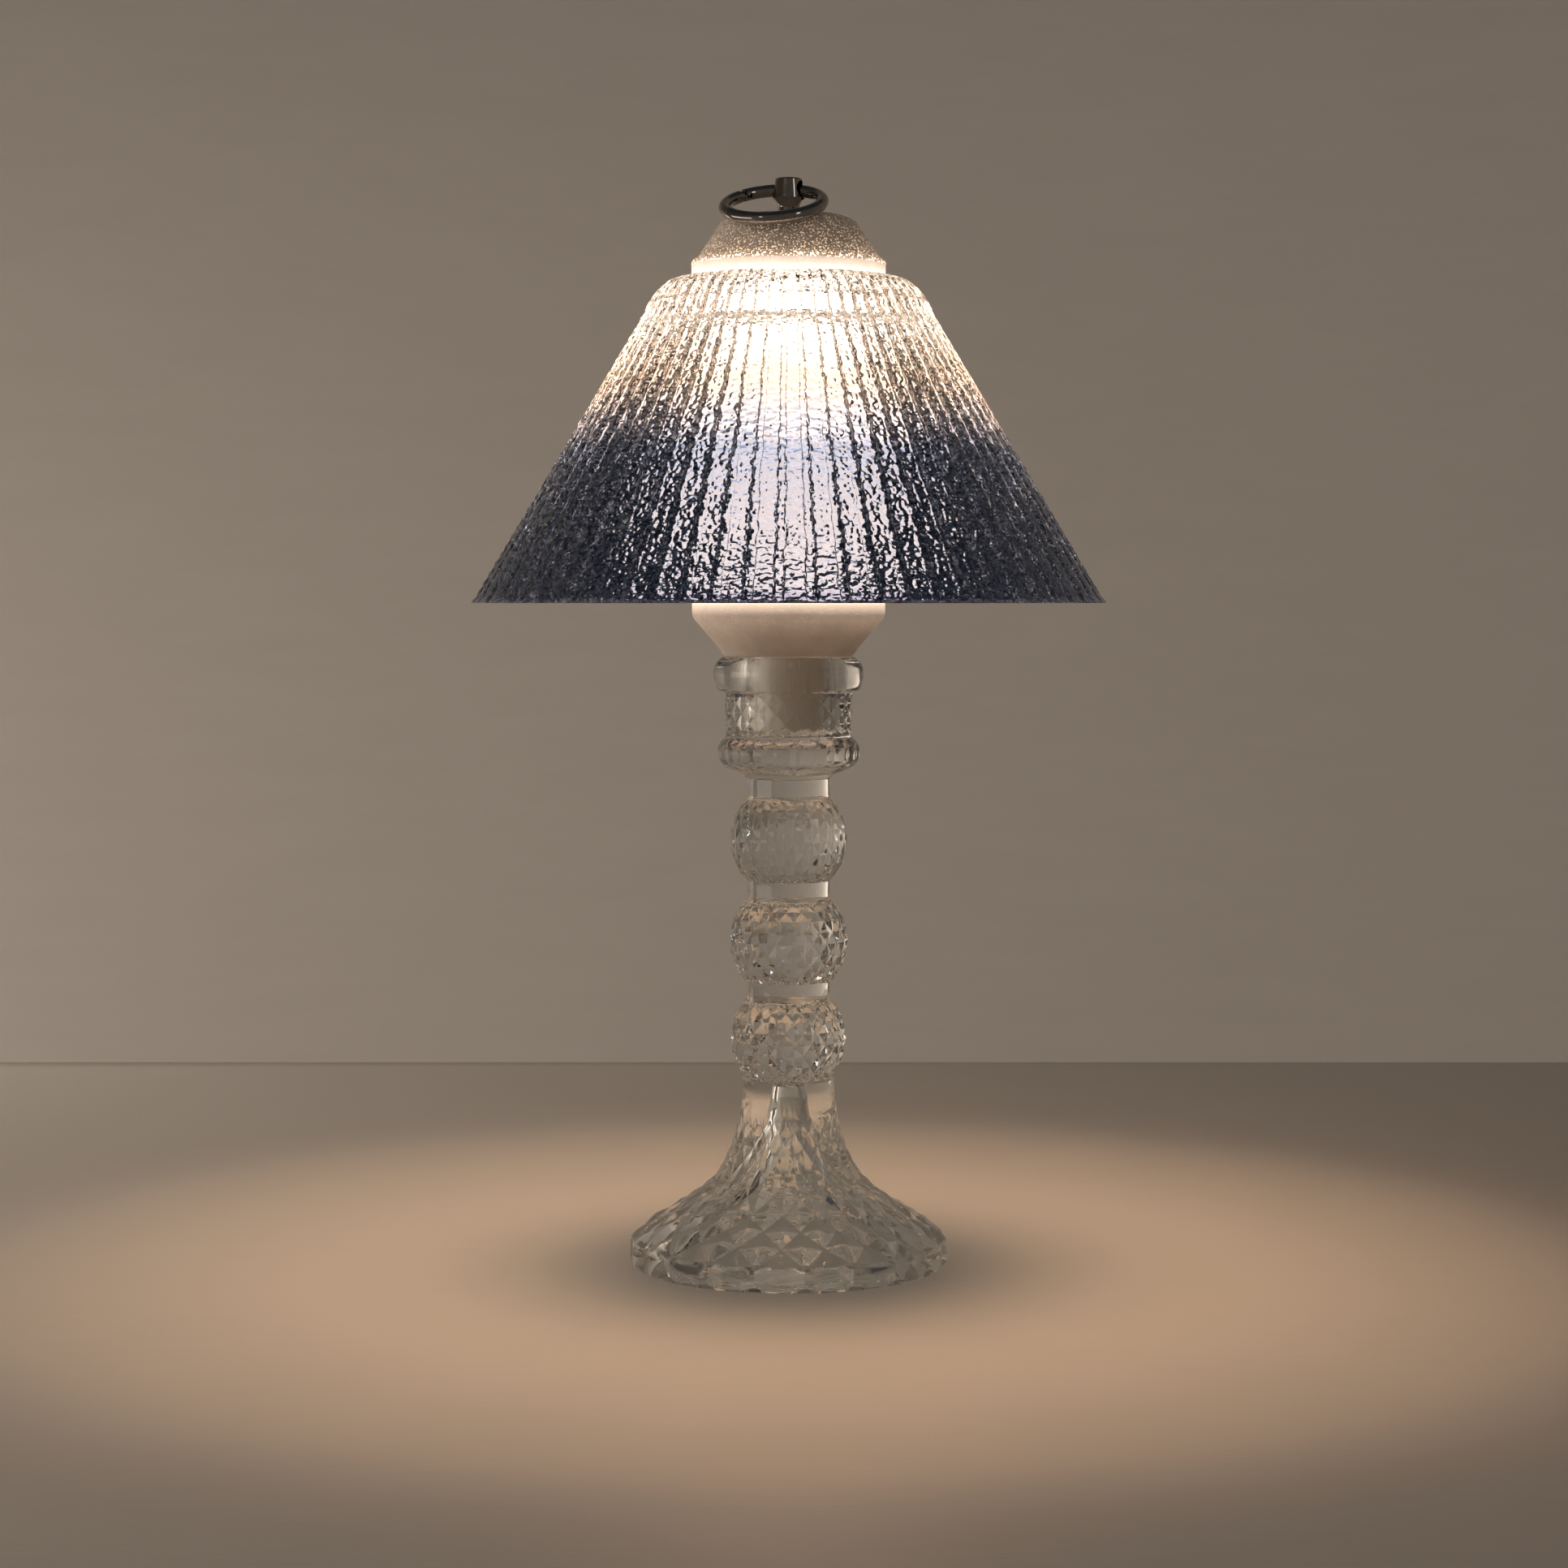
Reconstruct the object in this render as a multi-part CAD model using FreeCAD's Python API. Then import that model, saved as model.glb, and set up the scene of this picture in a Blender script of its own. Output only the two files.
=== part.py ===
import FreeCAD, Part

import math
import os

# Cordless table lamp: a pressed crystal candlestick carries a frosted lantern, and a pleated
# two-tone shade drops over the lantern and rests on a clear collar.
# Millimetres. Origin at the centre of the foot, on the table. +Z is up, -Y is the front.

OUT = "parts"

# ---------------------------------------------------------------- driving dimensions

# Candlestick
FOOT_R = 45.6               # radius over the scallops of the foot
FOOT_EDGE_H = 5.5           # height of the foot's upright edge
FOOT_REST_R = 39.0          # inner radius of the ring that stands on the table
SCALLOPS = 20               # scallops round the foot, and flutes round the cup's lower bead
SCALLOP_DEPTH = 0.9
COLLAR_R = 13.3             # smooth collar where the bell meets the stem
COLLAR_LOW_Z, COLLAR_TOP_Z = 47.5, 52.7
NECK_R = 11.9
BALLS = [                   # (centre z, radius, lower end z, upper end z)
    (64.3, 16.6, 52.9, 75.3),
    (92.2, 17.0, 80.9, 103.8),
    (121.2, 16.8, 109.6, 132.8),
]
STEM_TOP_Z = 138.8
CUP_BEAD_R = 20.4           # fluted bead under the cup
CUP_WAIST_R = 18.1
CUP_RIM_R = 21.45
CUP_TOP_Z = 173.4
BORE_R = 11.0               # candle socket, a standard 22 mm taper hole
BORE_FLOOR_Z = 151.0

# Lantern
SEAT_GAP = 0.05             # flat faces of different bodies that rest on each other
LAMP_FLOOR_Z = CUP_TOP_Z + SEAT_GAP
TUBE_R = 27.4
TUBE_WALL = 1.8
TUBE_LOW_Z = 184.5          # where the lower cone becomes the cylinder
TUBE_TOP_Z = 283.3          # joint between the tube and its cap
LAMP_FLOOR_R = 18.3
CAP_SHOULDER_R, CAP_SHOULDER_Z = 25.9, 285.2
CAP_CROWN_R, CAP_CROWN_Z = 19.2, 295.3
CAP_TOP_Z = 297.4
CAP_SKIRT_H = 2.5
LEDGE_R, LEDGE_Z = 28.9, 268.4      # bead round the tube that the collar sits on
LEDGE_H = 1.5

# Battery and electronics
SPIGOT_R = 10.8             # battery tube, which is also the plug in the candle socket
SPIGOT_BORE_R = 9.6
SPIGOT_LOW_Z = 152.2
SPIGOT_TOP_Z = 224.0
SPIGOT_FLANGE_R = 13.5
CELL_R = 9.2                # 18650 cell
CELL_LOW_Z = 157.4
CELL_H = 64.2
LED_BOARD_R = 23.6
LED_BOARD_T = 1.4
LED_COUNT = 12
LED_CIRCLE_R = 18.5
LED_SCREW_CIRCLE_R = 13.0
BOARD_Y = 16.4              # front face of the upright control board
BOARD_T = 1.2
BOARD_W = 18.0
BOARD_LOW_Z, BOARD_TOP_Z = 186.0, 216.0
PORT_Z = 192.5
PORT_W, PORT_H = 8.94, 3.26
BUTTON_Z = 207.5
BUTTON_R = 4.0
BUTTON_TRAVEL = 0.4
BOSS_X, BOSS_Z = 6.5, 200.0

# Hanging post and ring
POST_TOP_Z = 307.8
POST_YAW = -18.5            # how far the post is turned on its screw
EYE_Z = 304.4               # centre of the cross-hole
EYE_R = 2.7
EYE_OFFSET = 0.3            # the wire's middle lies this far behind the axis it turns on
RING_R = 13.65              # centre line of the ring's wire
WIRE_R = 1.75
RING_TILT = 22.9            # how far the ring has flopped down from level
RING_TWIST = -3.5           # how far the wire lies askew in the cross-hole
GATE_HINGE_DEG = 146.0      # places on the ring, counted from the right, with the post at 90
GATE_NOSE_DEG = 232.0
GATE_GAP = 0.25
GATE_PIN_R = 0.5
TONGUE_R, TONGUE_HALF = 1.45, 0.55  # flat eye of the gate round its pin

# Shade
SHADE_RIM_R = 89.85
SHADE_RIM_Z = 188.4
SHADE_CONE_R, SHADE_CONE_Z = 41.0, 270.0
SHADE_TOP_Z = 280.5
SHADE_HOLE_R = 28.2
SHADE_WALL = 2.3
SHADE_HEM = 1.5
PLEATS = 66
PLEAT_DEPTH = 1.1
SHADE_COLLAR_R = 32.5
SHADE_COLLAR_TOP_Z = 278.1

RUN_FIT = 0.1               # radial clearance of parts that turn on each other

UP = FreeCAD.Vector(0, 0, 1)
BACK = FreeCAD.Vector(0, 1, 0)
RIGHT = FreeCAD.Vector(1, 0, 0)


# ---------------------------------------------------------------- helpers

def vec(x, y, z):
    return FreeCAD.Vector(x, y, z)


def on_circle(radius, degrees, z=0.0):
    angle = math.radians(degrees)
    return vec(radius * math.cos(angle), radius * math.sin(angle), z)


def turned(start, *steps):
    """Solid of revolution about Z. start is (r, z). A step is a point for a straight side,
    a pair of points for an arc through the first, or a longer list for a smooth curve."""
    edges = []
    here = vec(start[0], 0, start[1])
    for step in steps + (start,):
        if isinstance(step, tuple):
            target = vec(step[0], 0, step[1])
            if here.distanceToPoint(target) > 1e-6:
                edges.append(Part.makeLine(here, target))
        else:
            points = [vec(r, 0, z) for r, z in step]
            target = points[-1]
            if len(points) == 2:
                edges.append(Part.Arc(here, points[0], target).toShape())
            else:
                curve = Part.BSplineCurve()
                curve.interpolate([here] + points)
                edges.append(curve.toShape())
        here = target
    face = Part.Face(Part.Wire(edges))
    solid = face.revolve(vec(0, 0, 0), UP, 360)
    if solid.Volume < 0:
        solid.reverse()
    return solid


def tube(outer, inner, low, high):
    return turned((inner, low), (outer, low), (outer, high), (inner, high))


def rod(radius, start, end):
    direction = end - start
    return Part.makeCylinder(radius, direction.Length, start, direction)


def block(centre, size):
    corner = vec(centre[0] - size[0] / 2, centre[1] - size[1] / 2, centre[2] - size[2] / 2)
    return Part.makeBox(size[0], size[1], size[2], corner)


def polyhedron(rings):
    """Closed solid between the first ring of points and the last, with plane end caps."""
    faces = []
    count = len(rings[0])
    for low, high in zip(rings, rings[1:]):
        for i in range(count):
            j = (i + 1) % count
            faces.append(Part.Face(Part.makePolygon([low[i], low[j], high[j], low[i]])))
            faces.append(Part.Face(Part.makePolygon([low[i], high[j], high[i], low[i]])))
    for ring in (rings[0], rings[-1]):
        faces.append(Part.Face(Part.makePolygon(ring + [ring[0]])))
    solid = Part.Solid(Part.makeShell(faces))
    if solid.Volume < 0:
        solid.reverse()
    return solid


def creases(count, radius, depth, low, high):
    """Upright V-shaped cutters that leave scallops between them."""
    half = depth * 1.6
    tools = []
    for i in range(count):
        rings = []
        for z in (low, high):
            rings.append([vec(radius - depth, 0, z), vec(radius + 1, -half, z), vec(radius + 1, half, z)])
        tool = polyhedron(rings)
        tool.rotate(vec(0, 0, 0), UP, 360.0 * (i + 0.5) / count)
        tools.append(tool)
    return Part.makeCompound(tools)


def bent_wire(radius, points, bend):
    """Round wire through the points, with an arc of the given radius at each corner."""
    edges = []
    here = points[0]
    for before, corner, after in zip(points, points[1:], points[2:]):
        inward = (before - corner).normalize()
        outward = (after - corner).normalize()
        half_angle = inward.getAngle(outward) / 2
        reach = bend / math.tan(half_angle)
        bisector = (inward + outward).normalize()
        middle = corner + bisector * (bend / math.sin(half_angle) - bend)
        start, end = corner + inward * reach, corner + outward * reach
        edges.append(Part.makeLine(here, start))
        edges.append(Part.Arc(start, middle, end).toShape())
        here = end
    edges.append(Part.makeLine(here, points[-1]))
    section = Part.Wire(Part.makeCircle(radius, points[0], points[1] - points[0]))
    return Part.Wire(edges).makePipeShell([section], True, False)


# ---------------------------------------------------------------- candlestick

def candlestick_glass():
    """One pressed piece: scalloped foot, bell, three balls on short necks, and the candle cup."""
    steps = [(FOOT_R - 0.9, 0),
             [(FOOT_R - 0.25, 0.25), (FOOT_R, 0.9)],
             (FOOT_R, FOOT_EDGE_H),
             [(45.0, 7.2), (43.5, 9.0), (38.0, 13.0), (29.3, 18.2), (21.4, 24.8), (17.3, 31.8),
              (14.7, 39.8), (COLLAR_R, COLLAR_LOW_Z)],
             (COLLAR_R, COLLAR_TOP_Z)]
    for centre, radius, low, high in BALLS:
        low_r = math.sqrt(radius ** 2 - (low - centre) ** 2)
        high_r = math.sqrt(radius ** 2 - (high - centre) ** 2)
        steps += [(low_r, low), [(radius, centre), (high_r, high)], (NECK_R, high + 0.4)]
        next_low = STEM_TOP_Z
        for other in BALLS:
            if other[0] > centre:
                next_low = other[2] - 0.4
                break
        steps.append((NECK_R, next_low))
    steps += [(12.9, 139.7), (17.6, 141.6),
              [(CUP_BEAD_R, 145.7), (18.3, 150.2)],
              (CUP_WAIST_R - 0.1, 151.7), (CUP_WAIST_R + 0.25, 163.0),
              [(20.3, 163.9), (CUP_RIM_R, 168.8), (20.6, 171.6), (19.4, 172.9), (17.8, CUP_TOP_Z)],
              (BORE_R + 1.0, CUP_TOP_Z),
              [(BORE_R + 0.3, CUP_TOP_Z - 0.3), (BORE_R, CUP_TOP_Z - 1.0)],
              (BORE_R, BORE_FLOOR_Z + 1.0), (BORE_R - 1.0, BORE_FLOOR_Z), (0, BORE_FLOOR_Z),
              (0, 53.3), [(1.8, 52.6), (3.2, 50.8)],
              [(4.6, 40.0), (7.0, 30.0), (13.0, 20.0), (27.0, 10.0), (36.0, 4.0), (FOOT_REST_R, 0)]]
    body = turned((FOOT_REST_R, 0), *steps)
    foot_creases = creases(SCALLOPS, FOOT_R, SCALLOP_DEPTH, -1.0, FOOT_EDGE_H + 3.0)
    bead_creases = creases(SCALLOPS, CUP_BEAD_R, SCALLOP_DEPTH / 2, 142.0, 149.6)
    return body.cut(foot_creases).cut(bead_creases)


# ---------------------------------------------------------------- lantern shell

def frosted_diffuser():
    """Frosted tube with a conical bottom, a bead for the collar, and the openings at the rear."""
    inner_r = TUBE_R - TUBE_WALL
    outer = turned((0, LAMP_FLOOR_Z), (LAMP_FLOOR_R, LAMP_FLOOR_Z),
                   [(19.0, 174.4), (19.6, 175.5)],
                   (26.7, 183.7), [(27.25, 184.9), (TUBE_R, 186.4)],
                   (TUBE_R, LEDGE_Z - 1.2), (LEDGE_R, LEDGE_Z), (LEDGE_R, LEDGE_Z + LEDGE_H),
                   (TUBE_R, LEDGE_Z + LEDGE_H), (TUBE_R, TUBE_TOP_Z), (0, TUBE_TOP_Z))
    hollow = turned((0, LAMP_FLOOR_Z + 2.0), (18.2, LAMP_FLOOR_Z + 2.0), (inner_r - 0.7, 184.6),
                    (inner_r, 186.4), (inner_r, TUBE_TOP_Z + 1), (0, TUBE_TOP_Z + 1))
    body = outer.cut(hollow)
    for side in (-1, 1):
        boss = rod(2.4, vec(side * BOSS_X, BOARD_Y + BOARD_T, BOSS_Z), vec(side * BOSS_X, inner_r - 0.2, BOSS_Z))
        body = body.fuse(boss)
        pilot = rod(1.03, vec(side * BOSS_X, BOARD_Y, BOSS_Z), vec(side * BOSS_X, 22.5, BOSS_Z))
        body = body.cut(pilot)
    body = body.cut(rod(SPIGOT_R + 0.05, vec(0, 0, LAMP_FLOOR_Z - 1), vec(0, 0, LAMP_FLOOR_Z + 3)))
    body = body.cut(port_prism(0.15, 20.0, 40.0))
    body = body.cut(rod(BUTTON_R + RUN_FIT, vec(0, 20, BUTTON_Z), vec(0, 40, BUTTON_Z)))
    return body.removeSplitter()


def frosted_top_cap():
    """Frosted conical cap with a skirt inside the tube and three bosses for the LED board."""
    skirt_r = TUBE_R - TUBE_WALL - 0.05
    outer = turned((0, TUBE_TOP_Z - CAP_SKIRT_H), (skirt_r, TUBE_TOP_Z - CAP_SKIRT_H), (skirt_r, TUBE_TOP_Z),
                   (TUBE_R, TUBE_TOP_Z), [(27.2, 284.5), (CAP_SHOULDER_R, CAP_SHOULDER_Z)],
                   (CAP_CROWN_R, CAP_CROWN_Z),
                   [(16.5, 296.7), (9.0, 297.3), (4.5, CAP_TOP_Z)], (0, CAP_TOP_Z))
    hollow = turned((0, TUBE_TOP_Z - CAP_SKIRT_H - 1), (skirt_r - 1.6, TUBE_TOP_Z - CAP_SKIRT_H - 1),
                    (skirt_r - 1.6, CAP_SHOULDER_Z - 0.8), (CAP_CROWN_R - 1.6, CAP_CROWN_Z - 1.6),
                    (9.0, 295.0), (0, 295.0))
    body = outer.cut(hollow)
    boss_low = TUBE_TOP_Z - CAP_SKIRT_H + 2.2
    for i in range(3):
        place = on_circle(LED_SCREW_CIRCLE_R, 90 + 120 * i, boss_low)
        body = body.fuse(rod(2.6, place, place + UP * (295.5 - boss_low)))
        body = body.cut(rod(1.03, place - UP, place + UP * 6))
    body = body.cut(rod(1.5 + RUN_FIT, vec(0, 0, 290), vec(0, 0, 300)))
    return body.removeSplitter()


# ---------------------------------------------------------------- light source

def led_board():
    """Round board under the cap, screwed to the cap's bosses."""
    low = TUBE_TOP_Z - CAP_SKIRT_H + 2.15 - LED_BOARD_T
    body = tube(LED_BOARD_R, 2.0, low, low + LED_BOARD_T)
    for i in range(3):
        place = on_circle(LED_SCREW_CIRCLE_R, 90 + 120 * i, low - 1)
        body = body.cut(rod(1.15, place, place + UP * 4))
    return body


def led_board_low():
    return TUBE_TOP_Z - CAP_SKIRT_H + 2.15 - LED_BOARD_T


def led_chips():
    """Ring of surface-mounted LEDs facing down into the tube."""
    chips = []
    for i in range(LED_COUNT):
        chip = block((LED_CIRCLE_R, 0, led_board_low() - 0.35), (2.8, 3.5, 0.7))
        chip.rotate(vec(0, 0, 0), UP, 360.0 * (i + 0.5) / LED_COUNT)
        chips.append(chip)
    return Part.makeCompound(chips)


def led_board_screws():
    screws = []
    for i in range(3):
        head = on_circle(LED_SCREW_CIRCLE_R, 90 + 120 * i, led_board_low() - 1.2)
        screw = rod(1.9, head, head + UP * 1.2).fuse(rod(1.0, head, head + UP * 6.5))
        slot = block((head.x, head.y, head.z), (3.0, 0.5, 1.0))
        screws.append(screw.cut(slot).removeSplitter())
    return Part.makeCompound(screws)


# ---------------------------------------------------------------- battery and control

def battery_tube():
    """Aluminium tube for the cell. Its lower end is the plug that stands in the candle cup."""
    flange_low = LAMP_FLOOR_Z + 2.0
    return turned((SPIGOT_BORE_R, SPIGOT_LOW_Z + 2.2), (SPIGOT_R, SPIGOT_LOW_Z + 2.2),
                  (SPIGOT_R, flange_low), (SPIGOT_FLANGE_R, flange_low),
                  (SPIGOT_FLANGE_R, flange_low + 1.6), (SPIGOT_R, flange_low + 1.6),
                  (SPIGOT_R, SPIGOT_TOP_Z), (SPIGOT_BORE_R, SPIGOT_TOP_Z))


def tube_end_cap():
    """Screw-in bottom plug of the battery tube, with a coin slot."""
    body = turned((0, SPIGOT_LOW_Z), (SPIGOT_R - 0.5, SPIGOT_LOW_Z), (SPIGOT_R, SPIGOT_LOW_Z + 0.5),
                  (SPIGOT_R, SPIGOT_LOW_Z + 2.2), (SPIGOT_BORE_R - 0.05, SPIGOT_LOW_Z + 2.2),
                  (SPIGOT_BORE_R - 0.05, SPIGOT_LOW_Z + 4.0), (0, SPIGOT_LOW_Z + 4.0))
    return body.cut(block((0, 0, SPIGOT_LOW_Z), (13.0, 1.6, 2.0)))


def tube_top_cap():
    """Insulating plug that closes the top of the battery tube, with holes for the two leads."""
    low = SPIGOT_TOP_Z - 1.1
    body = turned((0, low), (SPIGOT_BORE_R - 0.05, low), (SPIGOT_BORE_R - 0.05, SPIGOT_TOP_Z),
                  (SPIGOT_R, SPIGOT_TOP_Z), (SPIGOT_R, SPIGOT_TOP_Z + 2.0), (0, SPIGOT_TOP_Z + 2.0))
    for x in (-LEAD_X, LEAD_X):
        body = body.cut(rod(LEAD_R + 0.05, vec(x, 0, low - 1), vec(x, 0, SPIGOT_TOP_Z + 3)))
    return body


def battery_cell():
    """Rechargeable 18650 cell with its raised positive button."""
    top = CELL_LOW_Z + CELL_H
    return turned((0, CELL_LOW_Z), (CELL_R - 0.5, CELL_LOW_Z), [(CELL_R - 0.15, CELL_LOW_Z + 0.15),
                  (CELL_R, CELL_LOW_Z + 0.5)], (CELL_R, top - 0.5),
                  [(CELL_R - 0.15, top - 0.15), (CELL_R - 0.5, top)], (3.0, top), (3.0, top + 1.0), (0, top + 1.0))


def negative_contact():
    """Bowed leaf spring between the end cap and the cell."""
    foot_z = SPIGOT_LOW_Z + 4.0
    crown_z = CELL_LOW_Z - 0.02
    thick = 0.3
    under = Part.Arc(vec(-6, 0, foot_z), vec(0, 0, crown_z - thick), vec(6, 0, foot_z)).toShape()
    over = Part.Arc(vec(-6.8, 0, foot_z), vec(0, 0, crown_z), vec(6.8, 0, foot_z)).toShape()
    ends = [Part.makeLine(vec(s * 6, 0, foot_z), vec(s * 6.8, 0, foot_z)) for s in (-1, 1)]
    face = Part.Face(Part.Wire(Part.__sortEdges__([under, over] + ends)))
    body = face.extrude(vec(0, 5, 0))
    body.translate(vec(0, -2.5, 0))
    return body


def positive_contact():
    """Nickel plate under the top cap that meets the cell's button."""
    low = CELL_LOW_Z + CELL_H + 1.0
    return rod(5.5, vec(0, 0, low), vec(0, 0, SPIGOT_TOP_Z - 1.1))


def control_board():
    """Upright charge and switch board behind the battery tube."""
    body = block((0, BOARD_Y + BOARD_T / 2, (BOARD_LOW_Z + BOARD_TOP_Z) / 2),
                 (BOARD_W, BOARD_T, BOARD_TOP_Z - BOARD_LOW_Z))
    for side in (-1, 1):
        body = body.cut(rod(1.15, vec(side * BOSS_X, BOARD_Y - 1, BOSS_Z), vec(side * BOSS_X, 30, BOSS_Z)))
    return body


def control_board_screws():
    screws = []
    for side in (-1, 1):
        head = vec(side * BOSS_X, BOARD_Y - 1.2, BOSS_Z)
        screw = rod(1.9, head, head + BACK * 1.2).fuse(rod(1.0, head, head + BACK * 6.5))
        slot = block((head.x, head.y, head.z), (3.0, 1.0, 0.5))
        screws.append(screw.cut(slot).removeSplitter())
    return Part.makeCompound(screws)


def port_prism(grow, near, far):
    """Rounded-end prism of the charging socket's shape, along Y, grown all round."""
    radius = PORT_H / 2 + grow
    half = PORT_W / 2 - PORT_H / 2
    body = block((0, (near + far) / 2, PORT_Z), (2 * half, far - near, 2 * radius))
    for side in (-1, 1):
        body = body.fuse(rod(radius, vec(side * half, near, PORT_Z), vec(side * half, far, PORT_Z)))
    return body.removeSplitter()


def usb_c_port():
    """Charging socket: stamped shell round a central tongue."""
    near = BOARD_Y + BOARD_T
    far = 26.8
    shell = port_prism(0.0, near, far).cut(port_prism(-0.35, near + 1.2, far + 1))
    tongue = block((0, (near + 1 + far - 0.8) / 2, PORT_Z), (6.6, far - 0.8 - near - 1, 0.7))
    return shell.fuse(tongue).removeSplitter()


def tact_switch():
    """Tactile switch body with the well that its plunger moves in."""
    near = BOARD_Y + BOARD_T
    body = block((0, near + 1.75, BUTTON_Z), (6.0, 3.5, 6.0))
    return body.cut(rod(1.8, vec(0, near + 2.0, BUTTON_Z), vec(0, near + 5, BUTTON_Z)))


def switch_plunger():
    near = BOARD_Y + BOARD_T
    return rod(1.7, vec(0, near + 2.6, BUTTON_Z), vec(0, near + 4.7, BUTTON_Z))


def power_button():
    """Round push button with a stem and a retaining flange inside the tube's wall."""
    stem, flange, top = 1.6, 2.5, 6.0
    body = turned((0, 0), (1.5, 0), (1.5, stem), (BUTTON_R + 0.9, stem), (BUTTON_R + 0.9, flange),
                  (BUTTON_R, flange), (BUTTON_R, top - 0.6), [(BUTTON_R - 0.2, top - 0.2), (BUTTON_R - 0.6, top)],
                  (0, top))
    body.rotate(vec(0, 0, 0), RIGHT, -90)
    body.translate(vec(0, BOARD_Y + BOARD_T + 4.7, BUTTON_Z))
    return body


LEAD_R = 0.6
LEAD_X = 7.4


def battery_leads():
    """Two insulated leads from the top of the battery tube to the top of the control board."""
    leads = []
    for x in (-LEAD_X, LEAD_X):
        top = SPIGOT_TOP_Z + 6.0
        board_y = BOARD_Y + BOARD_T / 2
        route = [vec(x, 0, SPIGOT_TOP_Z - 1.0), vec(x, 0, top), vec(x, board_y, top), vec(x, board_y, BOARD_TOP_Z)]
        leads.append(bent_wire(LEAD_R, route, 3.0))
    return Part.makeCompound(leads)


def led_wires():
    """Two straight wires up the rear of the tube from the control board to the LED board."""
    wires = []
    board_y = BOARD_Y + BOARD_T / 2
    for x in (-1.2, 1.2):
        wires.append(rod(LEAD_R, vec(x, board_y, BOARD_TOP_Z), vec(x, board_y, led_board_low())))
    return Part.makeCompound(wires)


# ---------------------------------------------------------------- hanging post and ring

def hanging_post():
    """Turned post with a waisted neck and a cross-hole for the ring."""
    body = turned((0, CAP_TOP_Z + SEAT_GAP), (3.0, CAP_TOP_Z + SEAT_GAP), (3.0, 299.6),
                  [(3.6, 301.2), (4.55, 302.2)], (3.85, 307.2), [(3.7, 307.6), (3.3, POST_TOP_Z)],
                  (0, POST_TOP_Z))
    body = body.cut(rod(1.53, vec(0, 0, CAP_TOP_Z - 1), vec(0, 0, 301.0)))
    body = body.cut(rod(EYE_R, vec(-10, 0, EYE_Z), vec(10, 0, EYE_Z)))
    body.rotate(vec(0, 0, 0), UP, POST_YAW)
    return body.removeSplitter()


def post_washer():
    return tube(4.6, 1.6, 294.15, 295.0 - SEAT_GAP)


def post_screw():
    """Machine screw from inside the cap, on which the post turns."""
    body = rod(2.8, vec(0, 0, 292.1), vec(0, 0, 294.15)).fuse(rod(1.5, vec(0, 0, 292.1), vec(0, 0, 300.8)))
    return body.cut(block((0, 0, 292.1), (6.0, 0.8, 1.6))).removeSplitter()


def ring_placement():
    """From the ring's own frame (flat, post at its rear) to the lamp."""
    lift = FreeCAD.Placement(vec(0, 0, EYE_Z), FreeCAD.Rotation())
    yaw = FreeCAD.Placement(vec(0, 0, 0), FreeCAD.Rotation(UP, POST_YAW))
    twist = FreeCAD.Placement(vec(0, 0, 0), FreeCAD.Rotation(BACK, -RING_TWIST))
    tilt = FreeCAD.Placement(vec(0, 0, 0), FreeCAD.Rotation(RIGHT, RING_TILT))
    hang = FreeCAD.Placement(vec(0, EYE_OFFSET - RING_R, 0), FreeCAD.Rotation())
    return lift.multiply(yaw).multiply(twist).multiply(tilt).multiply(hang)


def placed(shape):
    result = shape.copy()
    result.Placement = ring_placement().multiply(shape.Placement)
    return result


def ring_arc(start_deg, end_deg, wire=WIRE_R):
    body = Part.makeTorus(RING_R, wire, vec(0, 0, 0), UP, -180, 180, end_deg - start_deg)
    body.rotate(vec(0, 0, 0), UP, start_deg)
    return body


def gate_hinge_place():
    return on_circle(RING_R, GATE_HINGE_DEG)


def gate_reach():
    """Straight distance from the gate's pin to its nose."""
    return gate_hinge_place().distanceToPoint(on_circle(RING_R, GATE_NOSE_DEG))


def across_pin(radius, half=5.0):
    """Disc or pin square to the ring's plane, centred on the gate's hinge."""
    place = gate_hinge_place()
    return rod(radius, place - UP * half, place + UP * half)


def ring_slab(half):
    return block((0, 0, 0), (80, 80, 2 * half))


def ring_body():
    """Fixed arc of the spring-gate ring, forked at its rear end for the gate's tongue."""
    body = ring_arc(GATE_NOSE_DEG - 20, GATE_HINGE_DEG + 360 + 10)
    nose_end = ring_arc(GATE_NOSE_DEG - 30, GATE_NOSE_DEG + 30, WIRE_R + 0.5)
    fork_end = ring_arc(GATE_HINGE_DEG, GATE_HINGE_DEG + 14, WIRE_R + 0.5)
    slot = ring_arc(GATE_HINGE_DEG - 7.5, GATE_HINGE_DEG + 14, WIRE_R + 0.5)
    slot = slot.common(ring_slab(TONGUE_HALF + 0.08)).fuse(across_pin(GATE_PIN_R + 0.02))
    body = body.cut(nose_end.common(across_pin(gate_reach() + GATE_GAP)))
    body = body.cut(fork_end.cut(across_pin(WIRE_R)))
    return placed(body.cut(slot))


def gate_pin():
    return placed(across_pin(GATE_PIN_R, WIRE_R - 0.12))


def ring_gate():
    """Sprung arc that opens inwards on its pin, with a tongue that lies in the ring's fork."""
    arc = ring_arc(GATE_HINGE_DEG, GATE_NOSE_DEG + 20).common(across_pin(gate_reach()))
    arc = arc.cut(across_pin(WIRE_R + GATE_GAP / 2))
    neck = ring_arc(GATE_HINGE_DEG, GATE_HINGE_DEG + 12).common(ring_slab(TONGUE_HALF))
    body = arc.fuse([neck, across_pin(TONGUE_R, TONGUE_HALF)])
    body = body.cut(across_pin(GATE_PIN_R + RUN_FIT / 2))
    return placed(body.removeSplitter())


# ---------------------------------------------------------------- shade

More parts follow.
